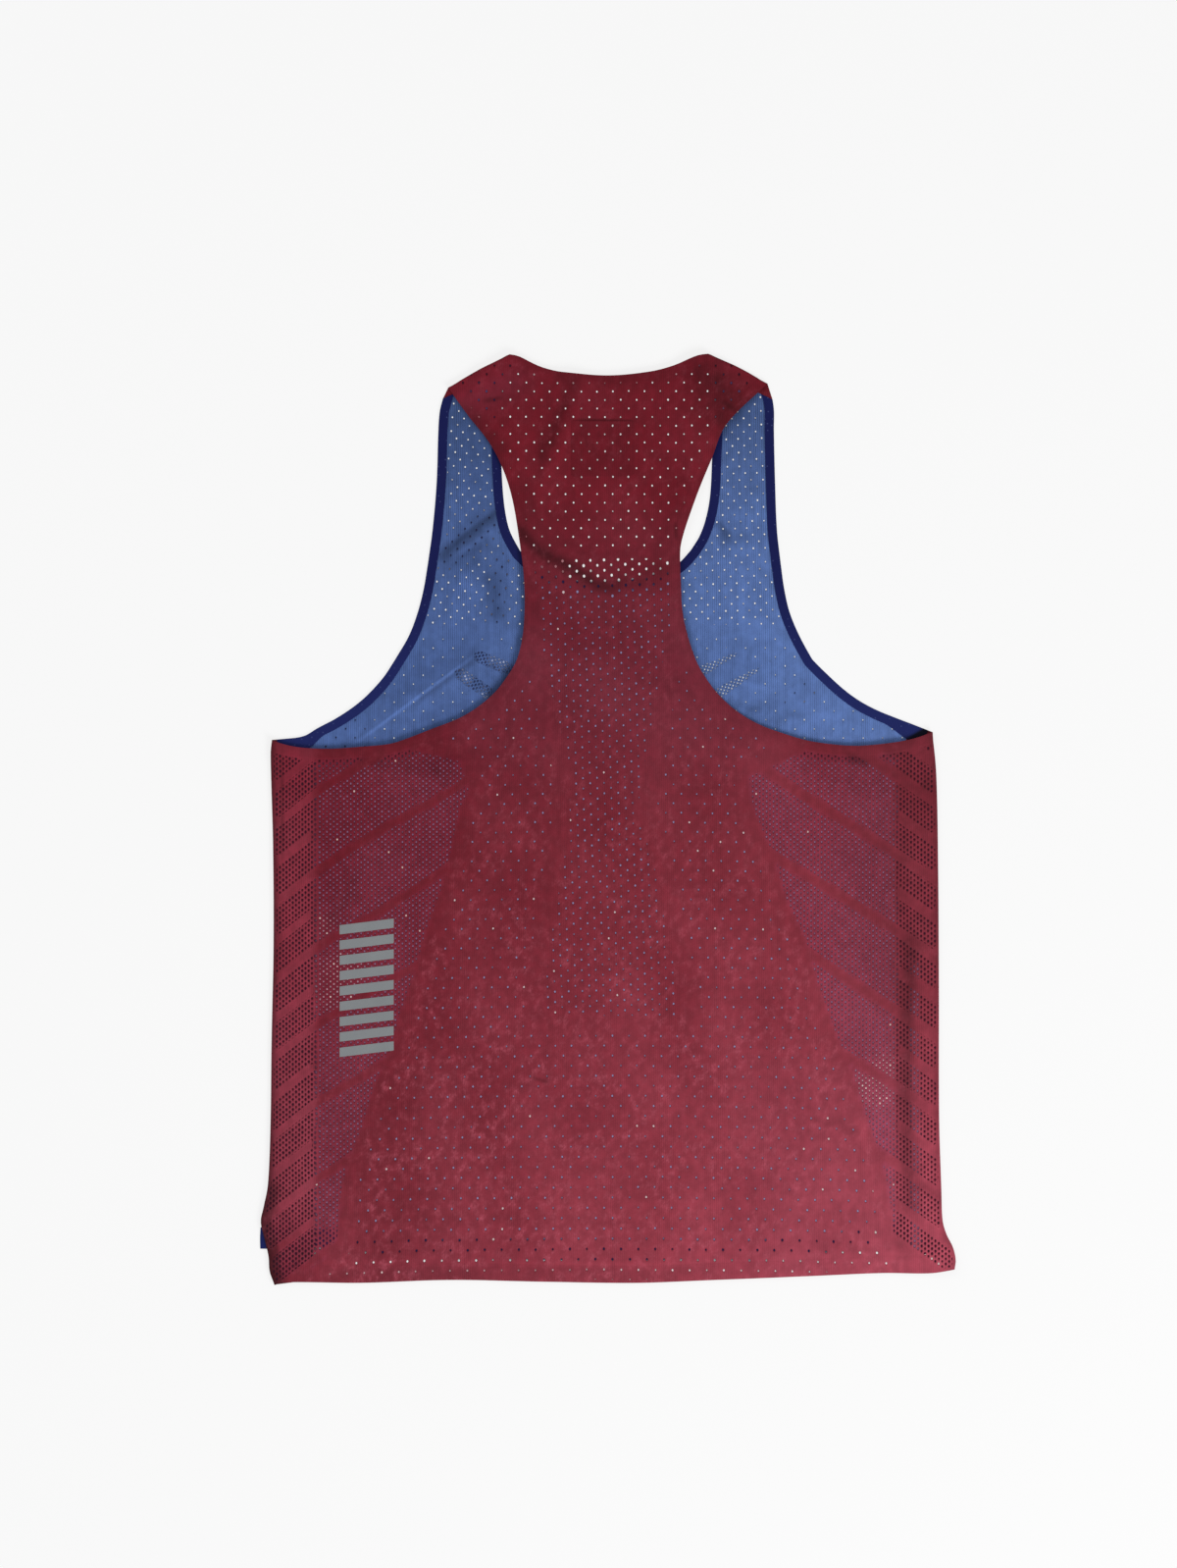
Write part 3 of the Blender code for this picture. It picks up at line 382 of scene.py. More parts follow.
def patch(bottom: np.ndarray, top: np.ndarray, left: np.ndarray, right: np.ndarray) -> np.ndarray:
    """Fill four meeting edges with a grid (a Coons patch).

    Args:
        bottom: The first row, left to right.
        top: The last row, left to right.
        left: The first column, bottom to top.
        right: The last column, bottom to top.

    Returns:
        An array of rows, columns and x, y.
    """
    u, v = run_shares(bottom)[None, :, None], run_shares(left)[:, None, None]
    between_rows = (1 - v) * bottom[None] + v * top[None]
    between_columns = (1 - u) * left[:, None] + u * right[:, None]
    lower, upper = ((1 - u) * row[0] + u * row[-1] for row in (bottom, top))
    return between_rows + between_columns - (1 - v) * lower - v * upper


def distance_to(points: np.ndarray, path: np.ndarray) -> np.ndarray:
    """Return how far each x, y point lies from a line through the path's points.

    Args:
        points: The places, as x, y rows in millimetres.
        path: The line's points, as x, y rows.

    Returns:
        A distance for each point, in millimetres.
    """
    least = np.full(points.shape[:-1], np.inf)
    for start, end in zip(path[:-1], path[1:]):
        run, offset = end - start, points - start
        along = np.clip((offset @ run) / max(float(run @ run), 1e-9), 0.0, 1.0)
        gap = offset - along[..., None] * run
        least = np.minimum(least, (gap * gap).sum(-1))
    return np.sqrt(least)


def nearest(points: np.ndarray, paths: Iterable[np.ndarray]) -> np.ndarray:
    """Return how far each x, y point lies from the nearest of the paths."""
    return np.min([distance_to(points, path) for path in paths], axis=0)


def inside(points: np.ndarray, outline: np.ndarray) -> np.ndarray:
    """Return which x, y points lie inside a closed outline.

    Args:
        points: The places, as x, y rows in millimetres.
        outline: The outline's points, in order, as x, y rows.

    Returns:
        True for each point that lies inside.
    """
    x, y = points[..., 0], points[..., 1]
    odd = np.zeros(x.shape, dtype=bool)
    for start, end in zip(outline, np.roll(outline, -1, axis=0)):
        if start[1] != end[1]:
            crossing = start[0] + (y - start[1]) * (end[0] - start[0]) / (end[1] - start[1])
            odd ^= ((start[1] > y) != (end[1] > y)) & (x < crossing)
    return odd


def depth_in(points: np.ndarray, outline: np.ndarray) -> np.ndarray:
    """Return how deep each x, y point lies inside a closed outline, below zero outside it."""
    closed = np.vstack([outline, outline[:1]])
    return distance_to(points, closed) * np.where(inside(points, outline), 1.0, -1.0)


def plateau(distance: np.ndarray, reach: float, settle: float) -> np.ndarray:
    """Return 1 within reach of a line, falling smoothly to 0 as the distance grows."""
    return ramp(distance, reach + settle, reach)


def crease_share(points: np.ndarray, crease: Crease) -> np.ndarray:
    """Return one crease's share at each x, y point, from 0 to 1."""
    path = np.array([(crease.x0, crease.y0), (crease.x1, crease.y1)])
    return bell(distance_to(points, path), crease.width)


def crease_heights(points: np.ndarray, group: Sequence[Crease]) -> np.ndarray:
    """Return the height of each crease of a group, one row a crease, at each x, y point."""
    return np.array([crease.height * crease_share(points, crease) for crease in group])


def side_seam_x(y: np.ndarray, left: bool) -> np.ndarray:
    """Return where a side seam runs at each height: it swings out towards the underarm.

    Args:
        y: The heights, in millimetres.
        left: Whether it is the left seam.

    Returns:
        The seam's x at each height.
    """
    swing, start, end = SEAM_SWING_LEFT if left else SEAM_SWING_RIGHT
    out = swing * ramp(y, start, end)
    return SIDE_SEAM_LEFT - out if left else SIDE_SEAM_RIGHT + out


def back_edges() -> list[np.ndarray]:
    """Return the back panel's armholes and neckline as fine paths, in order round the panel."""
    left = [fine(BACK_UNDERARM_LEFT), fine(RACER_LEFT), fine(BACK_NECK)]
    return [*left, fine(RACER_RIGHT)[::-1], fine(BACK_UNDERARM_RIGHT)]


def under_back(points: np.ndarray) -> np.ndarray:
    """Return which x, y points lie under the back panel."""
    waist = [(side[-1][0], BACK_HEM[0][1]) for side in (RIGHT_SIDE, LEFT_SIDE)]
    return inside(points, np.vstack([*back_edges(), waist]))


def joined(parts: Sequence[Table]) -> np.ndarray:
    """Return one fine path through the parts, each of which starts where the last one ends."""
    return np.vstack([fine(part)[:-1] for part in parts] + [[parts[-1][-1]]])


def front_armhole(left: bool) -> np.ndarray:
    """Return one front armhole as a fine path from the side seam to the shoulder seam.

    Args:
        left: Whether it is the left armhole.

    Returns:
        The path, as x, y rows.
    """
    if left:
        return joined((FRONT_UNDERARM_LEFT, FRONT_CHEST_LEFT, FRONT_STRAP_LEFT))
    return joined((FRONT_UNDERARM_RIGHT[::-1], FRONT_CHEST_RIGHT, FRONT_STRAP_RIGHT))


def front_neckline() -> np.ndarray:
    """Return the front neckline as a fine path from the left shoulder seam to the right one."""
    return joined((FRONT_NECK_LEFT[::-1], FRONT_NECK_CURVE, FRONT_NECK_RIGHT))


def front_edges() -> list[np.ndarray]:
    """Return the front panel's armholes and neckline as fine paths."""
    return [front_armhole(True), front_armhole(False), front_neckline()]


@dataclass(frozen=True)
class Lay:
    """How the layers lie on each other, in millimetres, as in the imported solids.

    A flat is how far a layer is pressed flat from an edge, and a reach is how far the lift over a
    hidden tape or the label goes. Each then settles over the same length.
    """

    cloth: float = 1.0
    clear: float = 0.3
    slack: float = 0.1
    knit: float = 0.6
    tape: float = 0.5
    bond: float = 0.02
    hem_tape_width: float = 15.0
    tape_width: float = 7.0
    hem_band_width: float = 12.5
    side_puff: float = 1.3
    side_puff_reach: float = 14.0
    front_tape_reach: float = 17.0
    hem_tape_reach: float = 15.0
    back_tape_reach: float = 10.0
    label_reach: float = 30.0
    settle: float = 12.0
    front_edge_flat: float = 14.0
    front_ripple_flat: float = 7.5
    front_ripple_settle: float = 5.0
    front_ripple_lift: float = 0.2
    back_edge_flat: float = 4.0
    back_ripple_flat: float = 6.0
    back_ripple_settle: float = 16.0
    back_ripple_held: float = 0.7
    label_centre: tuple[float, float] = (-4.0, 280.5)
    label_size: tuple[float, float] = (47.0, 42.0)

    @property
    def layer(self) -> float:
        """The height that one more layer adds."""
        return self.cloth + self.clear

    def front(self, points: np.ndarray) -> np.ndarray:
        """Return the height of the front panel's underside at each x, y point.

        Args:
            points: The places, as x, y rows in millimetres.

        Returns:
            A height for each point, in millimetres.
        """
        bare = np.where(under_back(points), 0.0, nearest(points, back_edges()))
        covered = plateau(bare, self.back_edge_flat, self.settle)
        edge = nearest(points, front_edges())
        taped = plateau(edge, self.front_edge_flat, self.settle)
        pressed = plateau(edge, self.front_ripple_flat, self.front_ripple_settle)
        folds = crease_heights(points, FRONT_CREASES).max(axis=0)
        small = crease_heights(points, FRONT_WRINKLES).sum(axis=0)
        small = np.maximum(small + FRONT_RIPPLE.at(points) + self.front_ripple_lift, 0.0)
        return folds * (1.0 - np.maximum(covered, taped)) + small * (1.0 - np.maximum(covered, pressed))

    def back(self, points: np.ndarray) -> np.ndarray:
        """Return the height of the back panel's outer face at each x, y point.

        Args:
            points: The places, as x, y rows in millimetres.

        Returns:
            A height for each point, in millimetres.
        """
        edge = nearest(points, back_edges())
        hem = fine(FRONT_HEM) + (0.0, self.hem_tape_width / 2)
        label = np.array([self.label_centre, np.add(self.label_centre, (0.0, 1.0))])
        lifts = [
            plateau(distance, reach, self.settle)
            for distance, reach in (
                (distance_to(points, front_neckline()), self.front_tape_reach),
                (distance_to(points, hem), self.hem_tape_reach),
                (edge, self.back_tape_reach),
                (distance_to(points, label), self.label_reach),
            )
        ]
        lifted = np.maximum(*lifts[:2]) + np.maximum(*lifts[2:])
        layers = self.cloth + self.layer + self.slack + self.layer * lifted
        side = nearest(points, (fine(LEFT_SIDE), fine(RIGHT_SIDE)))
        puff = self.side_puff * np.exp(-side / self.side_puff_reach)
        folds = crease_heights(points, BACK_CREASES).max(axis=0) * (1.0 + FOLD_RIPPLE.at(points))
        small = crease_heights(points, BACK_WRINKLES).sum(axis=0)
        small = small + sum(ripple.at(points) for ripple in BACK_RIPPLES)
        held = plateau(edge, self.back_ripple_flat, self.back_ripple_settle)
        return layers + puff + folds + small * (1.0 - self.back_ripple_held * held)


LAY = Lay()


class Sheet(NamedTuple):
    """A grid of cloth: its outer and inner points, row by row, in millimetres."""

    outer: np.ndarray
    inner: np.ndarray

    def changed(self, change: Callable[[np.ndarray], np.ndarray]) -> Sheet:
        """Return the sheet with one change made to both grids."""
        return Sheet(change(self.outer), change(self.inner))


def raised(flat: np.ndarray, height: np.ndarray | float) -> np.ndarray:
    """Return the x, y grid with a height added as its third value."""
    return np.concatenate([flat, np.broadcast_to(height, flat.shape[:-1])[..., None]], axis=-1)


def slab(flat: np.ndarray, bottom: np.ndarray | float, thickness: float) -> Sheet:
    """Return a wall over an x, y grid whose upper face is its first side."""
    return Sheet(raised(flat, bottom + thickness), raised(flat, bottom))


def store(mesh: bpy.types.Mesh, name: str, values: np.ndarray) -> None:
    """Keep one value, vector or colour for each point on a mesh.

    Args:
        mesh: The mesh.
        name: The attribute's name.
        values: A row of one, three or four numbers for each point.
    """
    kinds = {1: ("FLOAT", "value"), 3: ("FLOAT_VECTOR", "vector"), 4: ("FLOAT_COLOR", "color")}
    kind, key = kinds[values.size // len(values)]
    mesh.attributes.new(name, kind, "POINT").data.foreach_set(key, values.astype(np.float32).ravel())


class Wall:
    """Grids of cloth that meet at their edges, welded into one closed thin wall."""

    def __init__(self, name: str) -> None:
        """Start an empty wall with the name its piece will have."""
        self.name = name
        self.sheets: list[Sheet] = []

    def add(self, *sheets: Sheet) -> Wall:
        """Add grids whose rows climb to the left of their columns, and return the wall."""
        self.sheets += sheets
        return self

    def _faces(self, welded: np.ndarray) -> Iterator[tuple[int, ...]]:
        """Give the outer side's faces, without those that the weld has closed.

        Args:
            welded: The welded point that each grid point became.

        Returns:
            The corners of one face at a time.
        """
        start = 0
        for sheet in self.sheets:
            rows, columns = sheet.outer.shape[:2]
            index = welded[start : start + rows * columns].reshape(rows, columns)
            start += rows * columns
            corners = (index[:-1, :-1], index[:-1, 1:], index[1:, 1:], index[1:, :-1])
            for quad in np.stack(corners, axis=-1).reshape(-1, 4).tolist():
                kept = tuple(corner for place, corner in enumerate(quad) if corner != quad[place - 1])
                if len(set(kept)) == len(kept) >= 3:
                    yield kept

    def build(self, fields: Callable[[np.ndarray], Mapping[str, np.ndarray]] | None = None) -> Piece:
        """Weld the grids and put the piece in the scene.

        Args:
            fields: Gives named point values for the outer points, x, y, z in millimetres.

        Returns:
            The new piece.
        """
        outer, inner = (
            np.concatenate([grid.reshape(-1, 3) for grid in grids]) for grids in zip(*self.sheets)
        )
        keys = np.floor(outer / WELD_STEP + WELD_OFFSET).astype(np.int64)
        _, first, welded = np.unique(keys, axis=0, return_index=True, return_inverse=True)
        outer, inner = outer[first], inner[first]
        count = len(outer)
        sides = list(self._faces(welded.reshape(-1)))
        edges = {(face[i - 1], face[i]) for face in sides for i in range(len(face))}
        rim = sorted((a, b) for a, b in edges if (b, a) not in edges)
        faces = sides + [tuple(corner + count for corner in reversed(face)) for face in sides]
        faces += [(b, a, a + count, b + count) for a, b in rim]
        mesh = bpy.data.meshes.new(self.name)
        mesh.from_pydata((np.vstack([outer, inner]) * MILLIMETRE).tolist(), [], faces)
        mesh.polygons.foreach_set("use_smooth", np.ones(len(faces), dtype=bool))
        pairs = np.zeros(len(mesh.edges) * 2, dtype=np.int32)
        mesh.edges.foreach_get("vertices", pairs)
        rims = {frozenset((a + side, b + side)) for a, b in rim for side in (0, count)}
        sharp = [frozenset(pair) in rims for pair in pairs.reshape(-1, 2).tolist()]
        mesh.attributes.new("sharp_edge", "BOOLEAN", "EDGE").data.foreach_set("value", sharp)
        for name, values in (fields(outer) if fields else {}).items():
            store(mesh, name, np.concatenate([values, values]))
        mesh.validate()
        mesh.update()
        return placed(self.name, mesh)


# ---------------------------------------------------------------------------------------------
# Eyelets: where the knit is open, and what shows there.
# ---------------------------------------------------------------------------------------------


@dataclass(frozen=True)
class Lattice:
    """Rows of eyelets, each row set half a pitch from the next, in millimetres.

    The fan is how fast the pitch grows for each millimetre down the panel, the spread is how fast
    the rows' step grows, and the dip is how much the rows sink away from the panel's middle.
    """

    pitch: float
    row: float
    radius: float
    origin: tuple[float, float]
    turn: float = 0.0
    fan: float = 0.0
    spread: float = 0.0
    dip: float = 0.0

    def places(self, points: np.ndarray) -> np.ndarray:
        """Return each x, y point's eyelet coordinates, where one eyelet pair fills a unit.

        Args:
            points: The places, as x, y rows in millimetres.

        Returns:
            A place across and a place along the rows for each point.
        """
        x, y = points[..., 0] - self.origin[0], points[..., 1] - self.origin[1]
        across = x * math.cos(self.turn) + y * math.sin(self.turn)
        along = y * math.cos(self.turn) - x * math.sin(self.turn)
        if self.fan:
            across = (across + self.origin[0]) / (1.0 - self.fan * along) - self.origin[0]
            along = along + self.dip * (points[..., 0] ** 2 - self.origin[0] ** 2)
            along = -np.log(1.0 - self.spread * along) / self.spread
        return np.stack([across / self.pitch, along / (2 * self.row)], axis=-1)


YOKE_LATTICE = Lattice(11.94, 6.47, 0.62, (-8.1, 323.6))
SPINE_LATTICE = Lattice(10.54, 3.92, 0.62, (-2.6, 196.1), 0.03)
BODY_LATTICE = Lattice(12.38, 7.56, 0.64, (71.6, -187.0), 0.0, 0.0003, 0.00026, 0.00007)
SIDE_LATTICE = Lattice(5.20, 1.92, 0.60, (-236.0, 0.0))
EDGE_LATTICE = Lattice(4.82, 1.91, 0.62, (-236.0, 0.0))
STRAP_LATTICE_LEFT = Lattice(8.75, 5.2, 0.57, (-108.0, 266.6), -0.095)
STRAP_LATTICE_RIGHT = Lattice(8.9, 5.2, 0.57, (104.0, 262.0), 0.03)
CHEST_LATTICE = Lattice(14.8, 6.8, 0.48, (-110.0, 150.0))
FINGER_LATTICE_LEFT = Lattice(4.0, 1.70, 0.72, (-71.0, 112.5), -0.52)
FINGER_LATTICE_RIGHT = Lattice(3.8, 1.6, 0.50, (70.0, 111.5), 0.49)

# What shows in an eyelet: its colour, and 1 where light comes through or 0 where none does.
# The dark colours paint the layers beneath in shade, and the glowing ones paint light coming through.
LILAC: Shown = (0.205, 0.185, 0.32, 0.0)
PLUM: Shown = (0.180, 0.092, 0.165, 0.0)
DARK_NAVY: Shown = (0.010, 0.005, 0.035, 0.0)
DARK_BLUE: Shown = (0.012, 0.018, 0.070, 0.0)
STRAP_SHADE: Shown = (0.050, 0.034, 0.095, 0.0)
DARK_MAROON: Shown = (0.022, 0.002, 0.010, 0.0)
DIM_ROSE: Shown = (0.30, 0.10, 0.12, 0.0)
WARM_ROSE: Shown = (0.33, 0.13, 0.15, 0.0)
GLOWING_ROSE: Shown = (0.52, 0.31, 0.33, 0.0)
PALE_ROSE: Shown = (0.66, 0.55, 0.57, 0.0)
LABEL_ROSE: Shown = (0.60, 0.53, 0.54, 0.0)
GLOWING_BLUE: Shown = (0.46, 0.52, 0.74, 0.0)
HALF_OPEN: Shown = (0.52, 0.60, 0.70, 0.55)
OPEN: Shown = (0.80, 0.77, 0.78, 1.0)
GLINT: Colour = (0.66, 0.50, 0.48)


@dataclass(frozen=True)
class SideBands:
    """The solid diagonal bands that cross a side's mesh, in millimetres.

    Over the wrapped edge there is one each step, and on the rest of the side one each two steps.
    The climbs are how fast they fall outwards, first over the wrapped edge and then on the rest.
    """

    seam: float
    level: float
    climbs: tuple[float, float]
    step: float
    half: float
    overlap: float = 1.5

    def clearance(self, points: np.ndarray) -> np.ndarray:
        """Return how far each x, y point lies clear of the nearest band, below zero in one.

        Args:
            points: The places, as x, y rows in millimetres.

        Returns:
            A distance for each point, in millimetres.
        """
        outward = (points[..., 0] - self.seam) * math.copysign(1.0, self.seam)
        level = points[..., 1] - self.level + np.where(outward > 0.0, *self.climbs) * outward
        level = level + SIDE_BAND_RIPPLE.at(points)
        gaps = [np.abs(level - span * np.round(level / span)) for span in (self.step, 2 * self.step)]
        near = np.where(outward > self.overlap, *gaps)
        return (near - self.half) / math.hypot(1.0, self.climbs[0])


LEFT_BANDS = SideBands(SIDE_SEAM_LEFT, 19.8, (0.77, 0.60), 29.3, 3.3)
RIGHT_BANDS = SideBands(SIDE_SEAM_RIGHT, -25.2, (0.70, 0.63), 29.45, 4.4)


class Spot(NamedTuple):
    """A spot where light comes through many of the eyelets, with its reach and share."""

    x: float
    y: float
    reach: float
    share: float

    def at(self, points: np.ndarray, wider: float = 1.0) -> np.ndarray:
        """Return the spot's own share at each x, y point, from 0 to 1."""
        return bell(np.hypot(points[:, 0] - self.x, points[:, 1] - self.y), wider * self.reach)


BACK_GLINTS = (
    Spot(-205, -119, 9, 0.55), Spot(-194, -114, 7, 0.45), Spot(-212, -136, 6, 0.40),
    Spot(-214, -80, 5, 0.45), Spot(208.7, -187, 5.5, 0.75), Spot(198, -202, 8, 0.60),
    Spot(206, -206, 7, 0.50), Spot(245, -336, 7, 0.40), Spot(-228, -340, 9, 0.25),
)
FINGER_GLINTS = (
    Spot(-79, 119.6, 4, 1.0), Spot(-87, 121.4, 2.6, 0.9), Spot(-107, 108.4, 3.6, 1.0),
    Spot(-95, 93, 3.6, 1.0),
)


class Finger(NamedTuple):
    """A short strip of fine eyelets beside an armhole: its ends, and its half width at each."""

    x0: float
    y0: float
    x1: float
    y1: float
    wide: float
    narrow: float

    def depth(self, points: np.ndarray) -> np.ndarray:
        """Return how deep each x, y point lies inside the strip, below zero outside it.

        Args:
            points: The places, as x, y rows in millimetres.

        Returns:
            A depth for each point, in millimetres.
        """
        ends = np.array([(self.x0, self.y0), (self.x1, self.y1)])
        run = ends[1] - ends[0]
        along = np.clip((points - ends[0]) @ run / (run @ run), 0.0, 1.0)
        return self.wide + (self.narrow - self.wide) * along - distance_to(points, ends)


RIGHT_FINGERS = (Finger(70, 111.5, 98, 125.5, 4.4, 1.4), Finger(84, 95.5, 118, 116, 4.4, 1.4))
LEFT_FINGERS = (Finger(-76, 114.1, -97, 122.9, 5, 5), Finger(-91.5, 96.3, -111.5, 109.9, 5, 5))

# The left shoulder's painted highlight: the knit is painted paler there.
SHOULDER_HIGHLIGHT = Crease(-106, 314, -72, 330, 13, 1)
# Where the front is folded double, so that no light comes through.
DOUBLED = creases(
    (-92, 222, -122, 200, 13, 1), (-80, 196, -84, 150, 7, 1), (138, 89, 158, 103, 7, 1),
)


def layered(
    points: np.ndarray, base: Shown, layers: Iterable[tuple[Shown | np.ndarray, np.ndarray]]
) -> np.ndarray:
    """Return what shows at each point: a base, and each layer mixed in by its share there.

    Args:
        points: The places.
        base: What shows where no layer covers it.
        layers: What each layer shows and its share from 0 to 1 at each point, lowest first.

    Returns:
        A colour and an openness for each point.
    """
    shown = np.broadcast_to(base, (len(points), 4))
    for layer, share in layers:
        shown = shown + (np.asarray(layer) - shown) * share[:, None]
    return shown


def dyed_and_shaded(dark: Colour, light: Colour, share: np.ndarray, shade: np.ndarray) -> np.ndarray:
    """Return a colour for each point between a dark and a light colour, times its shade, mostly painted
    shade.
    """
    colour = dark + (np.array(light) - dark) * share[:, None]
    return np.column_stack([colour * shade[:, None], np.ones(len(shade))])


def eyelet_fields(
    points: np.ndarray, opening: np.ndarray, chosen: Sequence[tuple[Lattice, np.ndarray]]
) -> dict[str, np.ndarray]:
    """Return each point's place in its lattice and that lattice's sizes.

    Args:
        points: The x, y places.
        opening: How far each point lies inside an open part of the knit.
        chosen: The lattices, each with the points that belong to it.

    Returns:
        The values by their names in the finish.
    """
    places = np.zeros((len(points), 2))
    size = np.zeros((len(points), 3))
    for lattice, where in chosen:
        places[where] = lattice.places(points[where])
        size[where] = (lattice.pitch, 2 * lattice.row, lattice.radius)
    return {"eyelet": np.column_stack([places, opening]), "eyelet_size": size}


class BackEyelets:
    """The open knit of the back panel: its lattices, zones and what lies behind each."""

    racer_foot: float = 201.6
    spine_rim: float = 6.5
    side_rim: float = 5.5
    dark: Colour = (0.1332, 0.00792, 0.0162)
    light: Colour = (0.2862, 0.0387, 0.0603)

    def __init__(self, points: np.ndarray) -> None:
        """Measure the zones at each x, y point, in millimetres.

        Args:
            points: The places, as x, y rows in millimetres.
        """
        self.points = points
        self.x, self.y = x, y = points.T
        self.edge = nearest(points, back_edges())
        self.neck = depth_in(points, front_neckline())
        self.hem, self.front_hem = (y - np.interp(x, *fine(hem).T) for hem in (BACK_HEM, FRONT_HEM))
        self.spine = depth_in(points, np.vstack([SPINE_LEFT, SPINE_RIGHT[::-1]]))
        self.on_left = x < 0
        sides = [fine(LEFT_SIDE), fine(RIGHT_SIDE)]
        meshes = [
            depth_in(points, np.vstack([side, mesh]))
            for side, mesh in zip(sides, (SIDE_MESH_LEFT, SIDE_MESH_RIGHT))
        ]
        self.side = np.where(self.on_left, *meshes)
        self.fold = nearest(points, sides)
        self.past_seam = np.where(self.on_left, SIDE_SEAM_LEFT - x, x - SIDE_SEAM_RIGHT)
        self.shoulder = nearest(points, [fine(SHOULDER_LEFT), fine(SHOULDER_RIGHT)])
        self.in_side = self.side > -self.side_rim
        self.in_racer = (y > self.racer_foot) & ~self.in_side
        self.in_spine = (self.spine > -self.spine_rim) & ~self.in_side & ~self.in_racer
        self.opening = self.openings()

    def openings(self) -> np.ndarray:
        """Return how far each point lies inside an open part of the knit, in millimetres.

        Returns:
            A depth for each point, below zero where the knit is closed.
        """
        clear = [bands.clearance(self.points) for bands in (LEFT_BANDS, RIGHT_BANDS)]
        side = [self.side, np.where(self.on_left, *clear), self.edge - 8.0, self.fold - 2.0]
        racer = [self.edge - 5.0, self.y - self.racer_foot - 2.6]
        spine = [self.spine, self.edge - 5.0]
        body = [-self.side - 11.0, -self.spine - 13.0, self.edge - 9.5, 121.0 - self.y]
        least = [np.minimum.reduce(zone) for zone in (side, racer, spine, body)]
        opening = np.select([self.in_side, self.in_racer, self.in_spine], least[:3], least[3])
        return np.minimum(opening, self.hem - 2.2)

    def fields(self) -> dict[str, np.ndarray]:
        """Return the panel's point values for its finish.

        Returns:
            The values of each point, by their names in the finish.
        """
        on_edge = self.in_side & (self.x < SIDE_SEAM_LEFT)
        zones = [self.in_side & ~on_edge, on_edge, self.in_racer, self.in_spine]
        zones.append(~np.logical_or.reduce(zones))
        lattices = (SIDE_LATTICE, EDGE_LATTICE, YOKE_LATTICE, SPINE_LATTICE, BODY_LATTICE)
        fields = eyelet_fields(self.points, self.opening, list(zip(lattices, zones)))
        fields["eyelet_size"][:, 2] += sum(
            wider * share
            for wider, share in (
                (0.24, self.in_spine * ramp(self.neck, -16.0, -11.0)),
                (0.08, self.in_spine * ramp(self.neck, -3.0, 1.0)),
                (0.12, self.in_racer * ramp(self.neck, -6.0, -8.0)),
                (np.where(self.on_left, 0.17, 0.13), self.in_side * ramp(self.past_seam, -1.0, 1.0)),
                (0.10, ramp(self.front_hem, 17.0, 15.0) * (self.hem > 13.0)),
            )
        )
        return fields | {
            "behind": self.behind(),
            "glint": self.glint(),
            "dye": self.dye(),
            "welt": self.welts(),
        }

    def glint(self) -> np.ndarray:
        """Return the share of the eyelets at each point that light comes through.

        Returns:
            A share from 0 to 1 for each point.
        """
        share = np.select([self.in_side, self.in_racer, self.in_spine], [0.004, 0.0, 0.025], 0.035)
        for spot in BACK_GLINTS:
            share = np.maximum(share, 0.5 * spot.share * spot.at(self.points))
        return np.where((self.past_seam > 0.0) & (self.hem > 25.0), 0.0, share)

    def behind(self) -> np.ndarray:
        """Return what shows in an eyelet at each point: its colour, and how open it is.

        Returns:
            A colour and an openness for each point.
        """
        x, y = self.x, self.y
        glows = [
            (GLOWING_ROSE, min(1.0, 1.4 * spot.share) * spot.at(self.points, 1.5))
            for spot in BACK_GLINTS
        ]
        wrapped = ramp(self.past_seam, -1.5, 1.5)
        brighter = 0.35 + 0.65 * ramp(x, -20.0, 40.0)
        band = DIM_ROSE + (np.array(PALE_ROSE) - DIM_ROSE) * brighter[:, None]
        layers = (
            # The front's knit in painted shade behind the side mesh, and a painted glow in a few spots.
            (PLUM, self.in_side),
            *glows,
            # The front strap, its neck tape and the open neck.
            (STRAP_SHADE, ramp(self.neck, -6.0, -8.0) * ramp(y, 244.0, 260.0)),
            (DARK_NAVY, ramp(self.neck, -8.5, -6.5)),
            (OPEN, ramp(self.neck, 0.0, 2.0)),
            (WARM_ROSE, ramp(x, -29.0, -34.0) * ramp(y, 206.0, 202.0) * ramp(self.neck, -1.0, 1.0)),
            # The front hem's tape, and no layer at all below it.
            (DARK_NAVY, ramp(self.front_hem, 17.0, 15.0)),
            (OPEN, ramp(self.front_hem, 0.5, -1.5)),
            # The wrapped side in painted shade, with one paler line, and the turned-up band.
            (DARK_MAROON, wrapped),
            (PLUM, ramp(x, 229.0, 232.0) * ramp(x, 237.0, 234.0) * ramp(y, -105.0, -113.0)),
            (band, ramp(self.hem, 13.0, 11.0) * (1.0 - wrapped)),
            # The back's own tapes, painted shade near the side's edges, the label, and the wrapped
            # shoulders in painted shade.
            (DIM_ROSE, plateau(self.edge, 7.0, 3.0) * ~self.in_side),
            (DARK_MAROON, plateau(self.edge, 11.0, 4.0) * self.in_side),
            (LABEL_ROSE, ramp(self.welts()[:, 2], 0.75, -0.75)),
            (DARK_MAROON, plateau(self.shoulder, 9.0, 3.0)),
        )
        return layered(self.points, LILAC, layers)

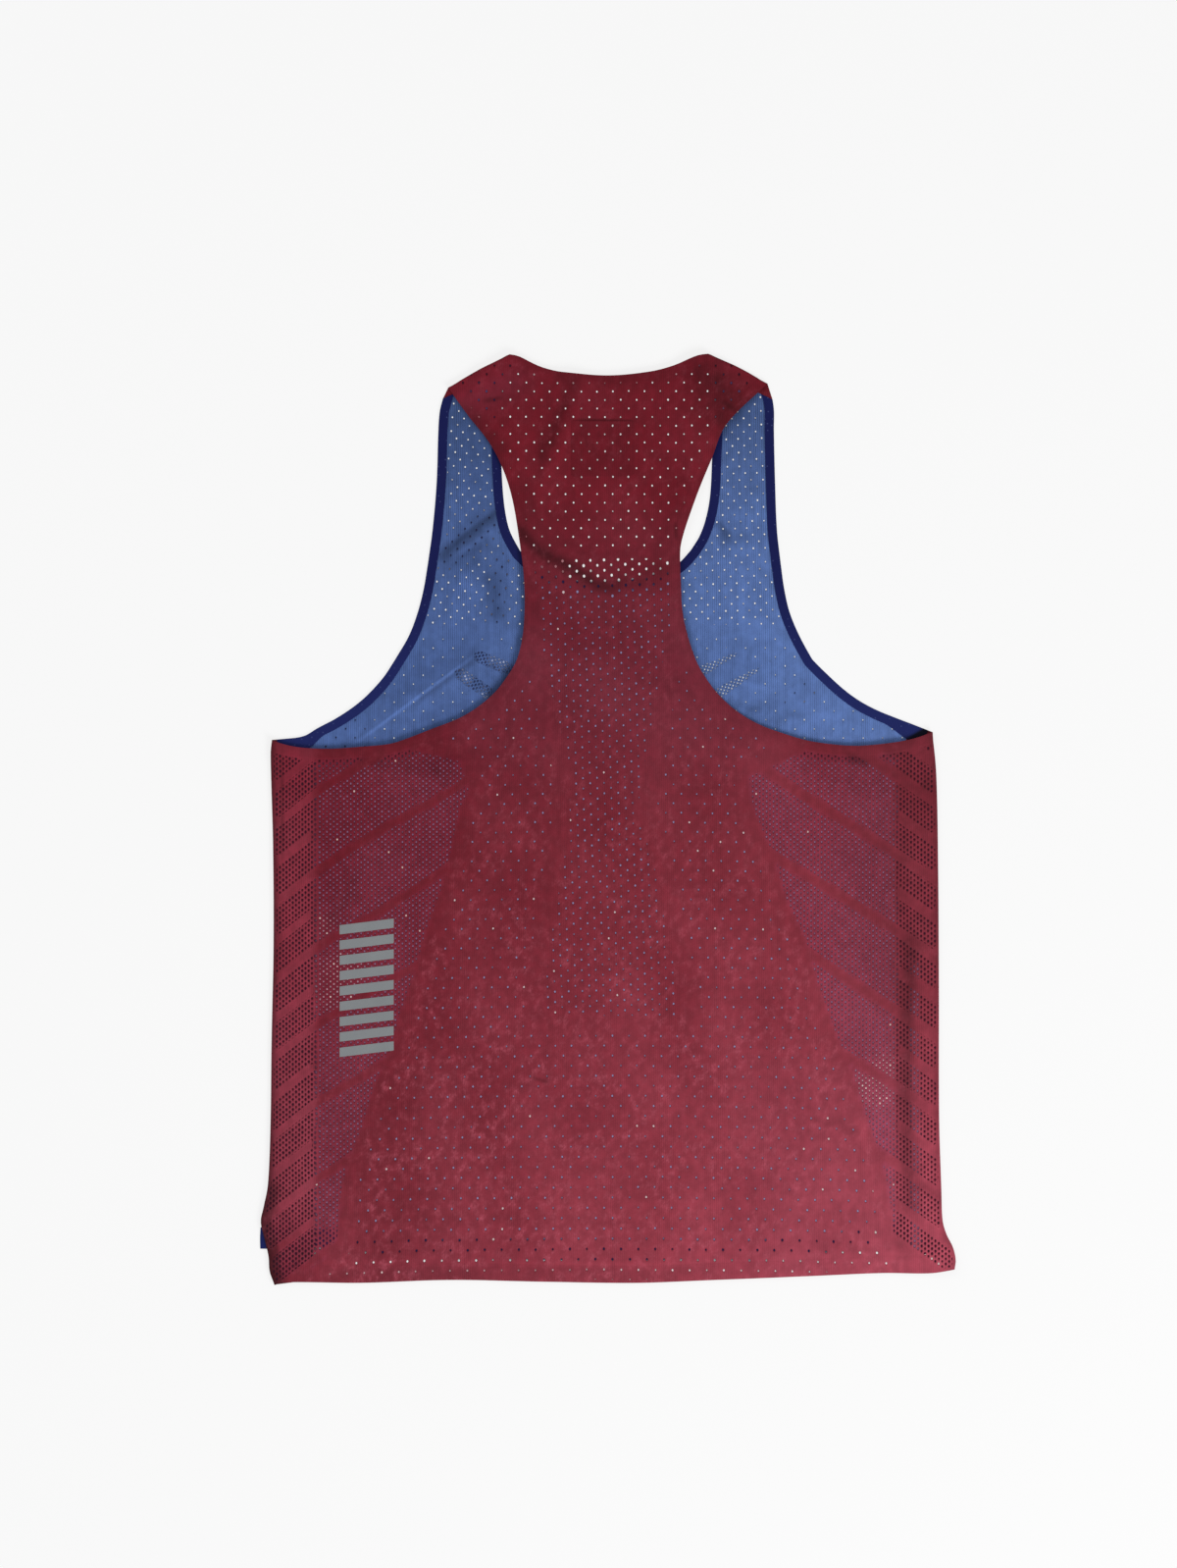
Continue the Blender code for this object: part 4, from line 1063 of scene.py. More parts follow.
    def dye(self) -> np.ndarray:
        """Return the knit's colour at each point, with its painted shade and highlights.

        Returns:
            A colour for each point, and 1 as its fourth value.
        """
        points, x, y = self.points, self.x, self.y
        # Dark near the neck to light towards the hem and lower right: partly the knit's own tone, partly
        # painted light.
        down = (260.0 - y) / 540.0
        low = ramp(y, -60.0, -210.0)
        outer = ramp(x, -216.0, -226.0) * ramp(y, -345.0, -285.0)
        share = 0.03 + 0.30 * down + 0.40 * down * np.abs(down) + (0.0005 + 0.0013 * down) * x
        share = share + outer * (0.22 + 0.17 * low)
        share = np.clip(share + (0.06 + 0.05 * low) * BACK_MOTTLE.at(points), 0.0, 1.3)
        meshed = ramp(self.opening, -1.0, 1.0)
        band = ramp(self.hem, 12.5, 9.5) * ramp(x, 130.0, 40.0) * (x > -212.0)
        # Painted shadow along the front neckline, where the back drops off the front's neck tape.
        neck_step = bell(distance_to(points, np.array(FRONT_NECK_STEP)), 5.2)
        shade = 1.0 + crease_heights(points, BACK_PAINTED_SHADE).sum(axis=0)
        shade = shade - (0.58 - 0.40 * ramp(x, -20.0, 30.0)) * neck_step
        for change, where in (
            # Painted shade at the folded sides, most at the left fold; lighter wrapped edges; a darker
            # right flank.
            (-0.20, plateau(self.fold, 1.5, 4.0)),
            (-0.26, ramp(x, 150.0, 230.0) * ramp(y, -260.0, -100.0)),
            (0.26 - 0.10 * low, outer),
            (0.10, ramp(x, 222.0, 234.0)),
            (-0.42, bell(self.fold, 4.5) * self.on_left),
            # Darker lower left, the side mesh's tone, and painted shade in the curled left corner.
            (-0.07, ramp(y, -150.0, -210.0) * ramp(x, -70.0, -130.0)),
            (0.14 * meshed - 0.01, self.in_side),
            (-0.50, ramp(y, -268.0, -280.0) * plateau(self.fold, 7.0, 4.0) * self.on_left),
            # The darker turned-up band, painted shade along the bonded edges, a painted highlight on the
            # ridge above the band.
            (-0.13, band),
            (-0.12, plateau(self.edge, 1.0, 3.0)),
            (0.13 - 0.052 * band, bell(self.hem - 14.5, 2.0) * (x > -215.0)),
        ):
            shade = shade * (1.0 + change * where)
        colour = dyed_and_shaded(self.dark, self.light, share, shade)
        # The left shoulder's painted highlight, where the knit is painted paler.
        shoulder_highlight = crease_share(points, SHOULDER_HIGHLIGHT)
        yoke = ramp(y, 215.0, 245.0) * (1.0 - shoulder_highlight)
        inner = self.in_side * meshed * (1.0 - outer) * ramp(x, 219.0, 213.0)
        greyer = 1.0 + sum(
            change * where
            for change, where in (
                # The upper back, the left shoulder's painted highlight and the lower right.
                (0.36, bell(y - 115.0, 80.0) * plateau(np.abs(x), 90.0, 80.0)),
                (0.32, shoulder_highlight),
                (0.09, ramp(x, 60.0, 140.0) * ramp(y, -150.0, -210.0)),
                (0.18, outer),
                (0.10, inner),
                (-0.13, yoke),
            )
        )
        bluer = greyer * (1.0 + 0.12 * inner + 0.06 * yoke)
        return colour * np.column_stack([1.0 + 0.07 * yoke, greyer, bluer, np.ones(len(x))])

    def welts(self) -> np.ndarray:
        """Return each point's distance from the tape's step, the hem band and the label's edge.

        Returns:
            Three distances for each point, in millimetres.
        """
        off = np.abs(self.points - LAY.label_centre) - np.array(LAY.label_size) / 2
        outside = np.linalg.norm(np.maximum(off, 0.0), axis=1)
        label = outside + np.minimum(off.max(axis=1), 0.0)
        return np.column_stack([self.edge, self.hem - LAY.hem_band_width, label])


class FrontEyelets:
    """The open knit of the front panel."""

    strap_foot: float = 144.5
    foot_rim: float = 2.5
    finger_rim: float = 2.6
    finger_wrap: float = 5.5
    dark: Colour = (0.062, 0.112, 0.290)
    light: Colour = (0.095, 0.166, 0.404)
    far: float = 50.0

    def __init__(self, points: np.ndarray) -> None:
        """Measure the zones at each x, y point, in millimetres.

        Args:
            points: The places, as x, y rows in millimetres.
        """
        self.points = points
        self.x, self.y = points.T
        self.edge = nearest(points, front_edges())
        self.cover = nearest(points, back_edges()) * np.where(under_back(points), -1.0, 1.0)

    def fields(self) -> dict[str, np.ndarray]:
        """Return the panel's point values for its finish.

        Returns:
            The values of each point, by their names in the finish.
        """
        left, on_strap = self.x < 0, self.y > self.strap_foot
        depths = [strip.depth(self.points) for strip in RIGHT_FINGERS + LEFT_FINGERS]
        finger = np.max(depths, axis=0, initial=-self.far)
        in_finger = finger > -self.finger_rim
        above = self.y - self.strap_foot
        strap = np.minimum(above - self.foot_rim, self.edge - 7.5)
        chest = np.minimum(-above - self.foot_rim, self.edge - 8.0)
        opening = np.minimum(np.where(on_strap, strap, chest), -finger - 2 * self.finger_rim)
        chosen = (
            (CHEST_LATTICE, ~on_strap & ~in_finger),
            (STRAP_LATTICE_LEFT, on_strap & left),
            (STRAP_LATTICE_RIGHT, on_strap & ~left),
            (FINGER_LATTICE_LEFT, in_finger & left),
            (FINGER_LATTICE_RIGHT, in_finger & ~left),
        )
        fields = eyelet_fields(self.points, np.where(in_finger, finger, opening), chosen)
        none = np.full(len(self.points), self.far)
        return fields | {
            "behind": self.behind(),
            "glint": np.zeros(len(self.points)),
            "dye": self.dye(),
            "welt": np.column_stack([self.edge, none, none]),
        }

    def behind(self) -> np.ndarray:
        """Return what shows in an eyelet at each point: its colour, and how open it is.

        Returns:
            A colour and an openness for each point.
        """
        points = self.points
        strips = [
            crease_share(points, Crease(strip.x0, strip.y0, strip.x1, strip.y1, self.finger_wrap, 1.0))
            for strip in LEFT_FINGERS
        ]
        layers = (
            # Below the straps, at the outer left, and under the back panel, which shows in painted shade.
            (HALF_OPEN, 0.7 * ramp(self.y, 148.0, 142.0)),
            (DARK_NAVY, ramp(self.x, -172.0, -186.0)),
            (DARK_MAROON, ramp(self.cover, 1.0, -1.0)),
            # The left fingers' eyelets in painted shade, and a painted glow in a few of them.
            *((DARK_BLUE, eased(3.5 * strip)) for strip in strips),
            *((GLOWING_BLUE, spot.share * spot.at(points)) for spot in FINGER_GLINTS),
            (DARK_NAVY, eased(1.6 * crease_heights(points, DOUBLED).max(axis=0))),
        )
        return layered(points, OPEN, layers)

    def dye(self) -> np.ndarray:
        """Return the knit's colour at each point, with its painted shade and highlights.

        Returns:
            A colour for each point, and 1 as its fourth value.
        """
        share = np.clip(0.46 + self.x / 330.0 + FRONT_MOTTLE.at(self.points), 0.0, 1.0)
        # Painted shade towards the strap tops, under the back panel, and a painted shadow along its edge.
        shade = 1.0 - 0.34 * ramp(self.y, 215.0, 305.0)
        shade = shade * (1.0 - 0.13 * bell(self.cover, 2.0))
        shade = shade * (1.0 + crease_heights(self.points, FRONT_PAINTED_SHADE).sum(axis=0))
        return dyed_and_shaded(self.dark, self.light, share, shade)


# ---------------------------------------------------------------------------------------------
# Finishes.
# ---------------------------------------------------------------------------------------------


def sum_of(operation: str, flipped: bool = False) -> Callable[[Wire, Any], Wire]:
    """Return the method that adds a node for self and another value.

    Args:
        operation: What the Math or Vector Math node does.
        flipped: Whether the other value comes first, as in 1 - mask.

    Returns:
        The method.
    """

    def method(self: Wire, other: Any) -> Wire:
        """Add the node and return its value."""
        values = (other, self) if flipped else (self, other)
        many = any(isinstance(value, Wire) and value.many for value in values)
        return (self.graph.vector if many else self.graph.value)(operation, *values)

    return method


class Wire:
    """A shader socket that sums are written with."""

    __add__, __radd__ = sum_of("ADD"), sum_of("ADD", True)
    __sub__, __rsub__ = sum_of("SUBTRACT"), sum_of("SUBTRACT", True)
    __mul__, __rmul__ = sum_of("MULTIPLY"), sum_of("MULTIPLY", True)
    __lt__, __gt__ = sum_of("LESS_THAN"), sum_of("GREATER_THAN")
    least, most = sum_of("MINIMUM"), sum_of("MAXIMUM")

    def __init__(self, graph: Graph, socket: bpy.types.NodeSocket) -> None:
        """Hold a node's output socket and the graph it belongs to."""
        self.graph = graph
        self.socket = socket

    @property
    def many(self) -> bool:
        """Whether the socket carries a vector or colour."""
        return self.socket.type in ("VECTOR", "RGBA")

    def wave(self) -> Wire:
        """Return the sine of the value."""
        return self.graph.value("SINE", self)

    def size(self) -> Wire:
        """Return the value without its sign."""
        return self.graph.value("ABSOLUTE", self)

    def from_to(self, low: float, high: float, start: float = 0.0, end: float = 1.0) -> Wire:
        """Return start at low and end at high, eased between and held beyond them.

        Args:
            low: The value that gives the start.
            high: The value that gives the end.
            start: What low becomes.
            end: What high becomes.

        Returns:
            The eased value.
        """
        ends = {"From Min": low, "From Max": high, "To Min": start, "To Max": end}
        settings = {"interpolation_type": "SMOOTHSTEP"}
        return self.graph.node("ShaderNodeMapRange", settings, {"Value": self, **ends})["Result"]

    def part(self, axis: str) -> Wire:
        """Return one value, X, Y or Z, of a vector."""
        return self.graph.node("ShaderNodeSeparateXYZ", {}, {"Vector": self})[axis]


class Made:
    """A node that was just added, whose outputs are read by name."""

    def __init__(self, graph: Graph, node: bpy.types.Node) -> None:
        """Hold a node and the graph it belongs to."""
        self.graph = graph
        self.node = node

    def __getitem__(self, name: str | int) -> Wire:
        """Return one of the node's outputs, by name or place."""
        return Wire(self.graph, self.node.outputs[name])


class Graph:
    """A material's nodes, with the few ways of adding to them that the finishes use."""

    def __init__(self, name: str) -> None:
        """Make a material of that name with only its shader and output."""
        self.material = bpy.data.materials.new(name)
        self.material.use_nodes = True
        self.tree = self.material.node_tree
        self.shader = self.tree.nodes["Principled BSDF"]

    def node(self, kind: str, settings: Mapping[str, Any], inputs: Mapping[Any, Any]) -> Made:
        """Add any node.

        Args:
            kind: The node's Blender type.
            settings: Its properties, which are set first.
            inputs: A wire or a constant for each socket, by name or place.

        Returns:
            The new node.
        """
        node = self.tree.nodes.new(kind)
        for key, value in settings.items():
            setattr(node, key, value)
        for key, value in inputs.items():
            self.feed(node.inputs[key], value)
        return Made(self, node)

    def feed(self, socket: bpy.types.NodeSocket, value: Any) -> None:
        """Link a wire to a socket, or set the socket's constant.

        Args:
            socket: The input to fill.
            value: A wire, a number, a vector or a colour.
        """
        if isinstance(value, Wire):
            self.tree.links.new(value.socket, socket)
        elif socket.type == "RGBA" and len(value) == 3:
            socket.default_value = (*value, 1.0)
        else:
            socket.default_value = value

    def value(self, operation: str, *values: Any) -> Wire:
        """Add a Math node."""
        return self.node("ShaderNodeMath", {"operation": operation}, dict(enumerate(values)))[0]

    def vector(self, operation: str, *values: Any) -> Wire:
        """Add a Vector Math node, in which a single number stands for all three.

        Args:
            operation: What the node does.
            *values: Its inputs, in order.

        Returns:
            The node's result.
        """
        spread = [(value,) * 3 if isinstance(value, (int, float)) else value for value in values]
        node = self.node("ShaderNodeVectorMath", {"operation": operation}, dict(enumerate(spread)))
        return node["Value" if operation in ("LENGTH", "DOT_PRODUCT") else "Vector"]

    def mix(self, share: Any, start: Any, end: Any) -> Wire:
        """Mix two colours by a share."""
        return self.node("ShaderNodeMix", {"data_type": "RGBA"}, {0: share, 6: start, 7: end})[2]

    def attribute(self, name: str) -> Made:
        """Read a point attribute of the mesh."""
        return self.node("ShaderNodeAttribute", {"attribute_name": name}, {})

    def place(self) -> Wire:
        """Return the place on the piece, in millimetres."""
        return self.node("ShaderNodeTexCoord", {}, {})["Object"] * (1.0 / MILLIMETRE)

    def noise(self, place: Wire, length: Sequence[float], detail: float = 2.0, part: str = "Fac") -> Wire:
        """Return a noise from 0 to 1 whose grain has a length along each axis."""
        inputs = {"Vector": place * tuple(1.0 / size for size in length), "Scale": 1.0, "Detail": detail}
        return self.node("ShaderNodeTexNoise", {}, inputs)[part]

    def finish(self, height: Wire | None = None, **sockets: Any) -> bpy.types.Material:
        """Feed the shader.

        Args:
            height: A height in millimetres for the bump.
            **sockets: A wire or constant for each shader input, with _ for a space.

        Returns:
            The finished material.
        """
        for name, value in sockets.items():
            self.feed(self.shader.inputs[name.replace("_", " ")], value)
        if height is not None:
            inputs = {"Strength": 1.0, "Distance": MILLIMETRE, "Height": height}
            bump = self.node("ShaderNodeBump", {}, inputs)
            self.feed(self.shader.inputs["Normal"], bump["Normal"])
        return self.material


class Eyelet(NamedTuple):
    """What the finish needs to know about the eyelets."""

    open: Wire
    rim: Wire
    shadow: Wire
    chance: Wire


@dataclass(frozen=True)
class KnitFinish:
    """A warp knit with fine ribs, brushed flecks and eyelets. Sizes are in millimetres."""

    name: str
    rib_depth: float
    rib_shade: float
    fleck: Colour
    fleck_share: float
    roughness: float
    sheen_tint: Colour
    lines: tuple[Crease, ...]
    rib_pitch: float = 1.49
    sheen: float = 0.02
    cloud_shade: float = 0.22
    rim_shade: float = 0.42
    rim_width: float = 0.55
    blur: float = 0.2
    wander: tuple[float, float, float] = (0.12, 0.09, 0.0)
    stretch: tuple[float, float, float] = (1.12, 0.90, 0.0)
    shadow_fall: float = 1.05
    shadow_radius: float = 0.75
    shadow_blur: float = 0.35
    lean: float = 0.16
    rib_bend: float = 1.6
    line_reach: float = 1.6
    line_fade: float = 5.0
    glint_strength: float = 0.8
    grain_height: float = 0.10
    fleck_height: float = 0.05
    rim_depth: float = 0.22
    tape_height: float = 0.16
    label_height: float = 0.22
    label_shade: float = 0.13
    label_edge_shade: float = 0.10
    fold_height: float = 0.9

    def crease(self, graph: Graph, place: Wire, line: Crease) -> Wire:
        """Add one fine crease, from 0 to 1, which fades towards its two ends.

        Args:
            graph: The finish's nodes.
            place: The place on the piece, in millimetres.
            line: The crease's ends and width.

        Returns:
            The crease's share, from 0 to 1.
        """
        run = (line.x1 - line.x0, line.y1 - line.y0, 0.0)
        start = (place - (line.x0, line.y0, 0.0)) * (1.0, 1.0, 0.0)
        along = graph.vector("DOT_PRODUCT", start, run) * (1.0 / (run[0] ** 2 + run[1] ** 2))
        along = along.least(1.0).most(0.0)
        off = graph.vector("LENGTH", start - graph.vector("MULTIPLY", along, run))
        near = off.from_to(0.0, self.line_reach * line.width, 1.0, 0.0)
        return near * (along * (1.0 - along) * self.line_fade).least(1.0)

    def eyelets(self, graph: Graph, place: Wire) -> Eyelet:
        """Add the eyelets: how open the knit is, its rim and shadow, and a chance for each one.

        Args:
            graph: The finish's nodes.
            place: The place on the piece, in millimetres.

        Returns:
            The eyelets' four values.
        """
        size = graph.attribute("eyelet_size")["Vector"]
        lattice = graph.attribute("eyelet")["Vector"]
        wander = graph.noise(place, (31.0,) * 3, 1.0, "Color")
        flat = lattice * (1.0, 1.0, 0.0) + (wander - 0.5) * self.wander
        stretch = size * self.stretch
        centres, shadows, cells = [], [], []
        for shift in (0.0, 0.5):
            moved = flat + (shift + 0.5, shift + 0.5, 0.0)
            cells.append(graph.vector("FLOOR", moved) + shift)
            near = (graph.vector("FRACTION", moved) - (0.5, 0.5, 0.0)) * stretch
            centres.append(graph.vector("LENGTH", near))
            shadows.append(graph.vector("LENGTH", near + (0.0, self.shadow_fall, 0.0)))
        nearest_one = centres[0].least(centres[1])
        cell = graph.mix(centres[1] < centres[0], *cells)
        dice = graph.node("ShaderNodeTexWhiteNoise", {"noise_dimensions": "3D"}, {"Vector": cell})
        chance = dice["Value"]
        radius = size.part("Z") * (0.86 + 0.28 * chance)
        gate = lattice.part("Z").from_to(0.05, 0.6)
        hole = (radius - nearest_one).from_to(-self.blur, self.blur) * gate
        rim = (radius + self.rim_width - nearest_one).from_to(0.0, self.rim_width) * gate
        depth = self.shadow_radius - shadows[0].least(shadows[1])
        shadow = depth.from_to(-self.shadow_blur, self.shadow_blur) * gate
        # The smaller the pitch, the deeper the shadow beside an eyelet looks.
        return Eyelet(hole, rim, shadow * size.part("X").from_to(5.3, 8.0, 0.34, 0.16), chance)

    def ribs(self, graph: Graph, place: Wire) -> Wire:
        """Add the upright ribs, as a height from -1 to 1 that comes and goes along each rib.

        Args:
            graph: The finish's nodes.
            place: The place on the piece, in millimetres.

        Returns:
            The ribs' height.
        """
        bend = graph.noise(place, (14.0, 60.0, 20.0), 1.0)
        rib = ((place.part("X") + bend * self.rib_bend) * (2 * math.pi / self.rib_pitch)).wave()
        strength = graph.noise(place, (2.4, 40.0, 20.0)).from_to(0.30, 0.70, 0.25, 1.0)
        wide = graph.noise(place, (2.9, 90.0, 20.0), 1.0) - 0.5
        return rib * strength * 0.8 + wide * 0.9

    def flecks(self, graph: Graph, place: Wire) -> Wire:
        """Add the brushed flecks, which lean a little and lie in patches.

        Args:
            graph: The finish's nodes.
            place: The place on the piece, in millimetres.

        Returns:
            The flecks' share, from 0 to 1.
        """
        x, y = place.part("X"), place.part("Y")
        leaned = graph.node("ShaderNodeCombineXYZ", {}, {"X": x - y * self.lean, "Y": y})["Vector"]
        fibre = graph.noise(leaned, (1.3, 2.3, 1.0), 3.0).from_to(0.34, 0.66)
        brushed = graph.noise(leaned, (5.6, 7.4, 1.0), 6.0).from_to(0.42, 0.72)
        density = graph.noise(place, (26.0, 30.0, 40.0)).from_to(0.38, 0.62, 0.30, 1.0)
        low = y.from_to(-300.0, 200.0, 1.0, 0.22)
        plain = graph.attribute("eyelet_size")["Vector"].part("X").from_to(5.0, 8.0, 0.35, 1.0)
        patch_share = (0.02 + 0.06 * fibre + brushed * (0.25 + 0.75 * fibre)) * density * plain
        return (patch_share * low * self.fleck_share).least(1.0)

    def build(self) -> bpy.types.Material:
        """Return the knit's material.

        Returns:
            The finished material.
        """
        graph = Graph(self.name)
        place = graph.place()
        ribs, flecks = self.ribs(graph, place), self.flecks(graph, place)
        eyelets = self.eyelets(graph, place)
        clouds = graph.noise(place, (7.0, 9.0, 20.0), 3.0).from_to(0.30, 0.75) - 0.5
        # The fine creases, raised by the bump and painted as shade and highlight.
        folds = 0.0
        for line in self.lines:
            folds = self.crease(graph, place, line) * line.height + folds
        welt = graph.attribute("welt")["Vector"]
        label = welt.part("Z")
        label_edge = (0.9 - label.size()).from_to(0.0, 0.9) * self.label_edge_shade
        shade = 1.0 + ribs * self.rib_shade + clouds * self.cloud_shade
        shade = shade * (1.0 - label.from_to(-1.0, 1.0, self.label_shade, 0.0) - label_edge)
        # Painted shade in a ring round each eyelet and a painted shadow just below it.
        shade = shade * (1.0 - self.rim_shade * eyelets.rim) * (1.0 - eyelets.shadow) * (1.0 + folds)
        cloth = graph.mix(flecks, graph.attribute("dye")["Color"], self.fleck) * shade
        behind, chance = graph.attribute("behind"), eyelets.chance
        glinting = (chance + graph.attribute("glint")["Fac"]) > 1.0
        varied = behind["Color"] * (0.80 + 0.40 * chance)
        glints = glinting * (1.0 - behind["Alpha"]) * self.glint_strength
        through = graph.mix(glints, varied, GLINT)
        dim = 0.84 + 0.16 * chance.from_to(0.05, 0.45)
        clear = eyelets.open * behind["Alpha"] * (0.35 + 0.65 * chance.from_to(0.02, 0.22))
        height = ribs * self.rib_depth + graph.noise(place, (0.9, 1.6, 1.0)) * self.grain_height
        height = height + flecks * self.fleck_height - eyelets.rim * self.rim_depth
        height = height + welt.part("X").from_to(6.6, 7.9, self.tape_height, 0.0)
        height = height + welt.part("Y").from_to(-0.9, 0.9, self.tape_height, 0.0)
        height = height + label.from_to(-0.8, 0.8, self.label_height, 0.0)
        return graph.finish(
            height=height + folds * self.fold_height,
            Base_Color=graph.mix(eyelets.open * dim, cloth, through),
            Roughness=self.roughness + clouds * 0.10,
            Alpha=1.0 - clear,
            Sheen_Weight=self.sheen,
            Sheen_Roughness=0.45,
            Sheen_Tint=self.sheen_tint,
            Specular_IOR_Level=0.12,
        )


@dataclass(frozen=True)
class TapeFinish:
    """A smooth bonded tape with a faint grain and pin dots where the knit beneath is open."""

    name: str
    colour: Colour
    light: Colour
    dot: Colour
    dot_share: float
    dot_pitch: float = 5.4

    def build(self) -> bpy.types.Material:
        """Return the tape's material.

        Returns:
            The finished material.
        """
        graph = Graph(self.name)
        place = graph.place()
        x, y = place.part("X"), place.part("Y")
        mottle = graph.noise(place, (9.0, 14.0, 9.0), 3.0).from_to(0.3, 0.7)
        weave = graph.noise(place, (0.8, 2.4, 0.8))
        low = y.from_to(185.0, 95.0)
        colour = graph.mix(low * 0.85 + mottle * 0.15, self.colour, self.light)
        inputs = {"Vector": place * (1.0 / self.dot_pitch), "Scale": 1.0, "Randomness": 0.55}
        cells = graph.node("ShaderNodeTexVoronoi", {"feature": "F1"}, inputs)["Distance"]
        colour = graph.mix(cells.from_to(0.13, 0.07) * self.dot_share, colour, self.dot)
        # Painted shadow on the tapes' ends at the right underarm, where they run under the back panel.
        shadow_under_back = (y - x * 0.60).from_to(-73.0, -76.0) * (x > 200.0)
        return graph.finish(
            height=weave * 0.05 + mottle * 0.08,
            Base_Color=colour * (1.0 - 0.9 * shadow_under_back),
            Roughness=0.62 + 0.14 * weave,
            Specular_IOR_Level=0.14,
        )


@dataclass(frozen=True)
class ReflectiveFinish:
    """A grey reflective transfer with a fine bead grain."""

    name: str = "reflective_grey"
    colour: Colour = (0.215, 0.228, 0.238)

    def build(self) -> bpy.types.Material:
        """Return the transfer's material.

        Returns:
            The finished material.
        """
        graph = Graph(self.name)
        place = graph.place()
        beads = graph.noise(place, (0.5,) * 3, 1.0)
        shade = 0.90 + 0.12 * graph.noise(place, (12.0,) * 3) + 0.08 * beads
        return graph.finish(
            height=beads * 0.03,
            Base_Color=graph.vector("MULTIPLY", shade, self.colour),
            Roughness=0.42 + 0.12 * beads,
            Metallic=0.15,
        )


class Finish(Enum):
    """The garment's finishes."""

    MAROON_KNIT = KnitFinish(
        name="maroon_knit_cloth",
        rib_depth=0.030,
        rib_shade=0.13,
        fleck=(0.46, 0.092, 0.134),
        fleck_share=0.56,
        roughness=0.80,
        sheen_tint=(0.9, 0.5, 0.55),
        lines=BACK_LINES,
    )
    BLUE_KNIT = KnitFinish(
        name="blue_knit_cloth",
        rib_depth=0.085,
        rib_shade=0.34,
        fleck=(0.16, 0.25, 0.50),
        fleck_share=0.25,
        roughness=0.76,
        sheen_tint=(0.6, 0.75, 1.0),
        lines=FRONT_LINES,
    )
    NAVY_TAPE = TapeFinish(
        name="navy_bonded_tape",
        colour=(0.0032, 0.0058, 0.068),
        light=(0.0088, 0.0150, 0.104),
        dot=(0.06, 0.08, 0.22),
        dot_share=0.5,
    )
    MAROON_TAPE = TapeFinish(
        name="maroon_bonded_tape",
        colour=(0.105, 0.015, 0.024),
        light=(0.13, 0.020, 0.030),
        dot=(0.16, 0.03, 0.045),
        dot_share=0.2,
    )
    REFLECTIVE = ReflectiveFinish()

    def material(self) -> bpy.types.Material:
        """Return the finish's material, made on first use."""
        return bpy.data.materials.get(self.value.name) or self.value.build()


def placed(name: str, data: bpy.types.ID) -> Piece:
    """Put an object that holds the data in the scene and return it.

    Args:
        name: The object's name.
        data: Its mesh, light or camera.

    Returns:
        The new object.
    """
    made = bpy.data.objects.new(name, data)
    bpy.context.scene.collection.objects.link(made)
    return made


def dress(piece: Piece, finish: Finish, nodes: Sequence[str] = ()) -> None:
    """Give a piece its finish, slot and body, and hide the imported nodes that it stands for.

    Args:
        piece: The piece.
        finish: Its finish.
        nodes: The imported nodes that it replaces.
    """
    piece.data.materials.append(finish.material())
    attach(piece, "root")
    if nodes:
        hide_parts(*nodes)
    corners = np.array([corner[:] for corner in piece.bound_box]) / MILLIMETRE
    size = "%.0f x %.0f x %.1f mm" % tuple(corners.max(0) - corners.min(0))
    LOG.info("%s: %d faces, %s", piece.name, len(piece.data.polygons), size)


def cloth_area(piece: Piece) -> float:
    """Return half a closed wall's surface, which is its cut's area, in square metres.

    Args:
        piece: The closed wall.

    Returns:
        The area, to the nearest thousandth.
    """
    area = sum(face.area for face in piece.data.polygons) / 2
    LOG.info("%s: cut of %.4f square metres", piece.name, area)
    return round(area, 3)


# ---------------------------------------------------------------------------------------------
# The garment's pieces.
# ---------------------------------------------------------------------------------------------


class Maker:
    """A sub-assembly, which builds its own mesh and dresses it."""

    def build(self) -> Piece:
        """Build the mesh and return its piece."""
        raise NotImplementedError

    def dress(self, piece: Piece) -> None:
        """Finish the piece."""
        raise NotImplementedError

    def make(self) -> Piece:
        """Build and dress the piece, and return it.

        Returns:
            The new piece.
        """
        piece = self.build()
        self.dress(piece)
        return piece


def outer_and_middle(share: float, outer: int, middle: int) -> np.ndarray:
    """Return the shares along a line whose outer parts are cut apart from its middle.

    Args:
        share: How much of the line each outer part takes.
        outer: How many cells each outer part has.
        middle: How many cells the middle has.

    Returns:
        The shares from 0 to 1.
    """
    first = share * even(outer)
    between = share + (1 - 2 * share) * even(middle)[1:-1]
    return np.concatenate([first, between, 1 - first[::-1]])


